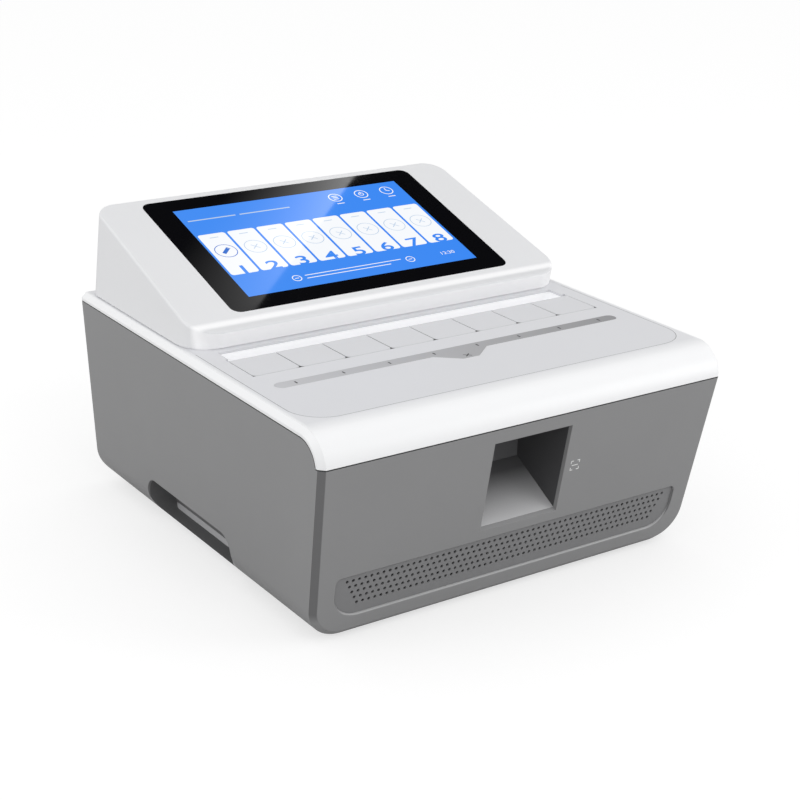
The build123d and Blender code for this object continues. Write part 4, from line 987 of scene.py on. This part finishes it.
corner_x = -lid_gap_half - lid_round
round_half = [(corner_x, shade_front)] + arc(corner_x, lid_front_edge + lid_round, lid_round, -90, 0, 6)
round_half += [(-lid_gap_half, shade_back)]
end_half = [(-end_gap_half, shade_front), (-end_gap_half, shade_back)]
gap_shades = []
for boundary in range(lane_count + 1):
    x = (boundary - lane_count / 2) * lane_pitch
    left = round_half if boundary > 0 else end_half
    right = round_half if boundary < lane_count else end_half
    gap_shades.append([(x + u, v) for u, v in left] + [(x - u, v) for u, v in reversed(right)])
gap_shade_piece = flat_piece("lid_gap_shade", gap_shades, port_dark)
on_deck(gap_shade_piece, "deck_grey", -shade_drop)
print("webs:", len(gap_shades))

# %% Painted shade in the panel's groove
panel_half, panel_front, panel_back, panel_corner = 173.7, -157.4, 2.0, 28.0
groove_width, groove_inset, groove_lift = 0.55, 0.2, 0.02


def panel_edge(beyond):
    """The panel's edge from its right rear end round the front to its left rear end."""
    radius = panel_corner + beyond
    side, front = panel_half + beyond, panel_front - beyond
    return with_mirror([(side, panel_back)] + arc(side - radius, front + radius, radius, 0, -90, 14))


# Painted shade: a dark strip laid in the groove round the inlaid panel.
groove_quads = strip(panel_edge(-groove_inset), panel_edge(groove_width - groove_inset))
groove = flat_piece("panel_groove", groove_quads, groove_grey)
on_deck(groove, "deck_grey", groove_lift)
print("groove quads:", len(groove_quads))

# %% [markdown]
# Every screw head that can be seen has a cross recess. A dark cross, painted
# shade, stands for each recess: one is set on all the rear heads by Geometry
# Nodes, and another on the heads below.

# %% Cross recesses of the screws
arm, bar_width = 2.8, 0.7


def cross_group():
    """A small cross of two flat bars on every point of the base mesh."""
    group, at, end = new_group("cross recesses", [
        ("Arm", "Float", arm * mm), ("Bar width", "Float", bar_width * mm), ("Turn", "Vector", (0, 0, 0)),
        ("Material", "Material", None),
    ])
    bars = [add(group, "GeometryNodeMeshGrid", {"Vertices X": 2, "Vertices Y": 2},
                {"Size X": at[across], "Size Y": at[along]}).outputs[0]
            for across, along in (("Arm", "Bar width"), ("Bar width", "Arm"))]
    points = add(group, "GeometryNodeMeshToPoints", links={"Mesh": at["Geometry"]})
    crosses = add(group, "GeometryNodeInstanceOnPoints", links={
        "Points": points.outputs[0], "Instance": joined(group, *bars), "Rotation": at["Turn"]})
    return finish_group(group, end, crosses.outputs[0], at["Material"])


head_height, head_lift = 1.8, 0.03
rear_face, foot_recess = 184.0, 2.4
rear_places = [Vector((x, rear_face + head_height + head_lift, z)) * mm
               for x in (-146.0, 146.0) for z in (27.0, 88.0, 149.0)]
foot_places = [Vector((x, y, foot_recess - head_height - head_lift)) * mm
               for x in (-130.0, 130.0) for y in (-125.0, 147.0)]
upright, flat = (pi / 2, 0, 0), (0, 0, 0)
for name, places, turn in (("rear_crosses", rear_places, upright), ("foot_crosses", foot_places, flat)):
    values = {"Arm": arm * mm, "Bar width": bar_width * mm, "Turn": turn, "Material": port_dark}
    crosses = grow(name, cross_group(), values, mesh_from(name + "_places", places))
    seat(crosses, "housing", "screw_steel")
    print(name, len(crosses.data.polygons), "faces")

# %% [markdown]
# Beside the recess the front face has a small white sign: four corner
# brackets with a line between them, which means that something is read there.

# %% Scan sign on the front face
sign_x, sign_y, sign_half, sign_arm, sign_width = 45.3, -48.8, 3.9, 2.2, 0.7
strokes = []
for sx in (-1, 1):
    for sy in (-1, 1):
        cx, cy = sign_x + sx * sign_half, sign_y + sy * sign_half
        strokes.append(stroke(cx + sx * sign_width / 2, cy, cx - sx * sign_arm, cy, sign_width))
        strokes.append(stroke(cx, cy, cx, cy - sy * sign_arm, sign_width))
strokes.append(dash(sign_x, sign_half * 0.75, sign_y, sign_width))
sign = flat_piece("scan_sign", strokes, sign_white)
seat(shifted(sign, on_front(0, 0, -mark_lift), front_turn), "housing", "housing_grey")
print("scan sign:", len(strokes), "strokes")

# %% [markdown]
# The stage is one wide pale floor. The camera sees it almost white, as in a
# product photograph, and it still takes the machine's shadow. Only the ray
# from the camera gets the extra brightness, so no more light falls on the
# machine from it.

# %% Floor
floor_tones = (0.61, 0.63)
floor_seen, floor_glow = 0.42, 0.64
floor_paint, tree, shader = new_material("pale floor")
camera_ray = add(tree, "ShaderNodeLightPath").outputs["Is Camera Ray"]
tone = blend(tree, noise(tree, on_object(tree), 3.0), *map(grey, floor_tones))
filled(tree, shader, {
    "Base Color": blend(tree, camera_ray, tone, grey(floor_seen)),
    "Roughness": 0.9, "Specular IOR Level": 0.0, "Emission Color": grey(1.0),
    "Emission Strength": calc(tree, "MULTIPLY", camera_ray, floor_glow),
})
floor = mesh_from("floor", [(-8, -8, 0), (8, -8, 0), (8, 12, 0), (-8, 12, 0)], [(0, 1, 2, 3)])
paint(floor, floor_paint)
print("floor laid")

# %% [markdown]
# Three soft lamps and a pale world light the machine. One at the left draws the
# left side, a weak one high in front opens the funnel, and the strongest stands
# at the front right, so that the front face isn't lost beside the pale deck.
# The world gives most of the light, as the tent of a product photograph does.

# %% Lamps
middle = Vector((0.0, 0.0, 0.10))
lamps = [
    ("left lamp", (-2.0, 0.3, 1.1), 1.3, 7.0),
    ("front lamp", (-0.2, -1.8, 1.9), 1.0, 4.0),
    ("right lamp", (1.9, -1.7, 0.9), 1.2, 13.0),
]
for name, place, size, power in lamps:
    data = bpy.data.lights.new(name, "AREA")
    data.shape, data.size, data.energy = "SQUARE", size, power
    lamp = placed(name, data)
    lamp.location = place
    lamp.rotation_euler = (middle - Vector(place)).to_track_quat("-Z", "Y").to_euler()
print(len(lamps), "soft lamps")

# %% World
world_light = 0.80
world = bpy.data.worlds.new("world")
scene.world = world
world.use_nodes = True
sky = world.node_tree
path = add(sky, "ShaderNodeLightPath").outputs
seen = calc(sky, "MAXIMUM", path["Is Camera Ray"], path["Is Transmission Ray"])
strength = spread(sky, seen, 0.0, 1.0, world_light, 1.0)
filled(sky, sky.nodes["Background"], {"Color": grey(1.0), "Strength": strength})
print("world light:", world_light)

# %% [markdown]
# A touch panel looks like glass only when it mirrors something with an edge.
# So a card hangs behind the machine where the panel mirrors it to the camera:
# bright along one edge and fading away from it, in front of a dark curtain.
# Both are seen by mirror rays alone, so neither lights the machine.

# %% Helpers for the card and the curtain
card_falloff, card_low_end, card_strength = 1.6, 0.12, 4.4


def mirror_place(u, v, distance):
    """Where the panel mirrors a ray that meets it at (u, v) millimetres, that far away."""
    point = screen_foot + Vector((u, 0, 0)) * mm + up_screen * v * mm
    ray = (point - camera_place).normalized()
    ray = ray - 2 * ray.dot(off_screen) * off_screen
    return point + ray * distance


def mirror_quad(name, corners, distance, material):
    """A stage piece that only glossy rays see, with an even UV map across it."""
    piece = mesh_from(name, [mirror_place(*corner, distance) for corner in corners], [(0, 1, 2, 3)])
    across_map = piece.data.uv_layers.new(name="across")
    for loop, place in zip(across_map.data, ((1.0, 0.0), (1.0, 1.0), (0.0, 1.0), (0.0, 0.0))):
        loop.uv = place
    paint(piece, material)
    piece.visible_camera = False
    piece.visible_diffuse = False
    piece.visible_transmission = False
    piece.visible_shadow = False


def card_material(name, strength):
    """Light that fades across the card and rises along it, on its UV map."""
    material, tree, shader = new_material(name)
    tree.nodes.remove(shader)
    place = add(tree, "ShaderNodeUVMap", uv_map="across").outputs[0]
    across = add(tree, "ShaderNodeSeparateXYZ", links={"Vector": place}).outputs
    fade = calc(tree, "POWER", across["X"], card_falloff)
    lit_share = calc(tree, "MULTIPLY", fade, spread(tree, across["Y"], 0.0, 1.0, card_low_end, 1.0))
    light = add(tree, "ShaderNodeEmission", links={"Strength": calc(tree, "MULTIPLY", lit_share, strength)})
    join(tree, light.outputs[0], tree.nodes["Material Output"].inputs["Surface"])
    return material


print("card helpers ready")

# %% Card and curtain that the glass mirrors
card_distance, curtain_distance = 1.3, 1.6
fade_reach = 85.0
edge_low, edge_high = Vector((-160.0, -58.4)), Vector((130.0, 194.2))
aside = (edge_high - edge_low).normalized().orthogonal() * fade_reach
card_corners = (edge_low, edge_high, edge_high + aside, edge_low + aside)
mirror_quad("mirror_card", card_corners, card_distance, card_material("card light", card_strength))
curtain_corners = ((-400, -400), (400, -400), (400, 500), (-400, 500))
mirror_quad("mirror_curtain", curtain_corners, curtain_distance, card_material("curtain", 0.0))
print("card edge from", tuple(edge_low), "to", tuple(edge_high))
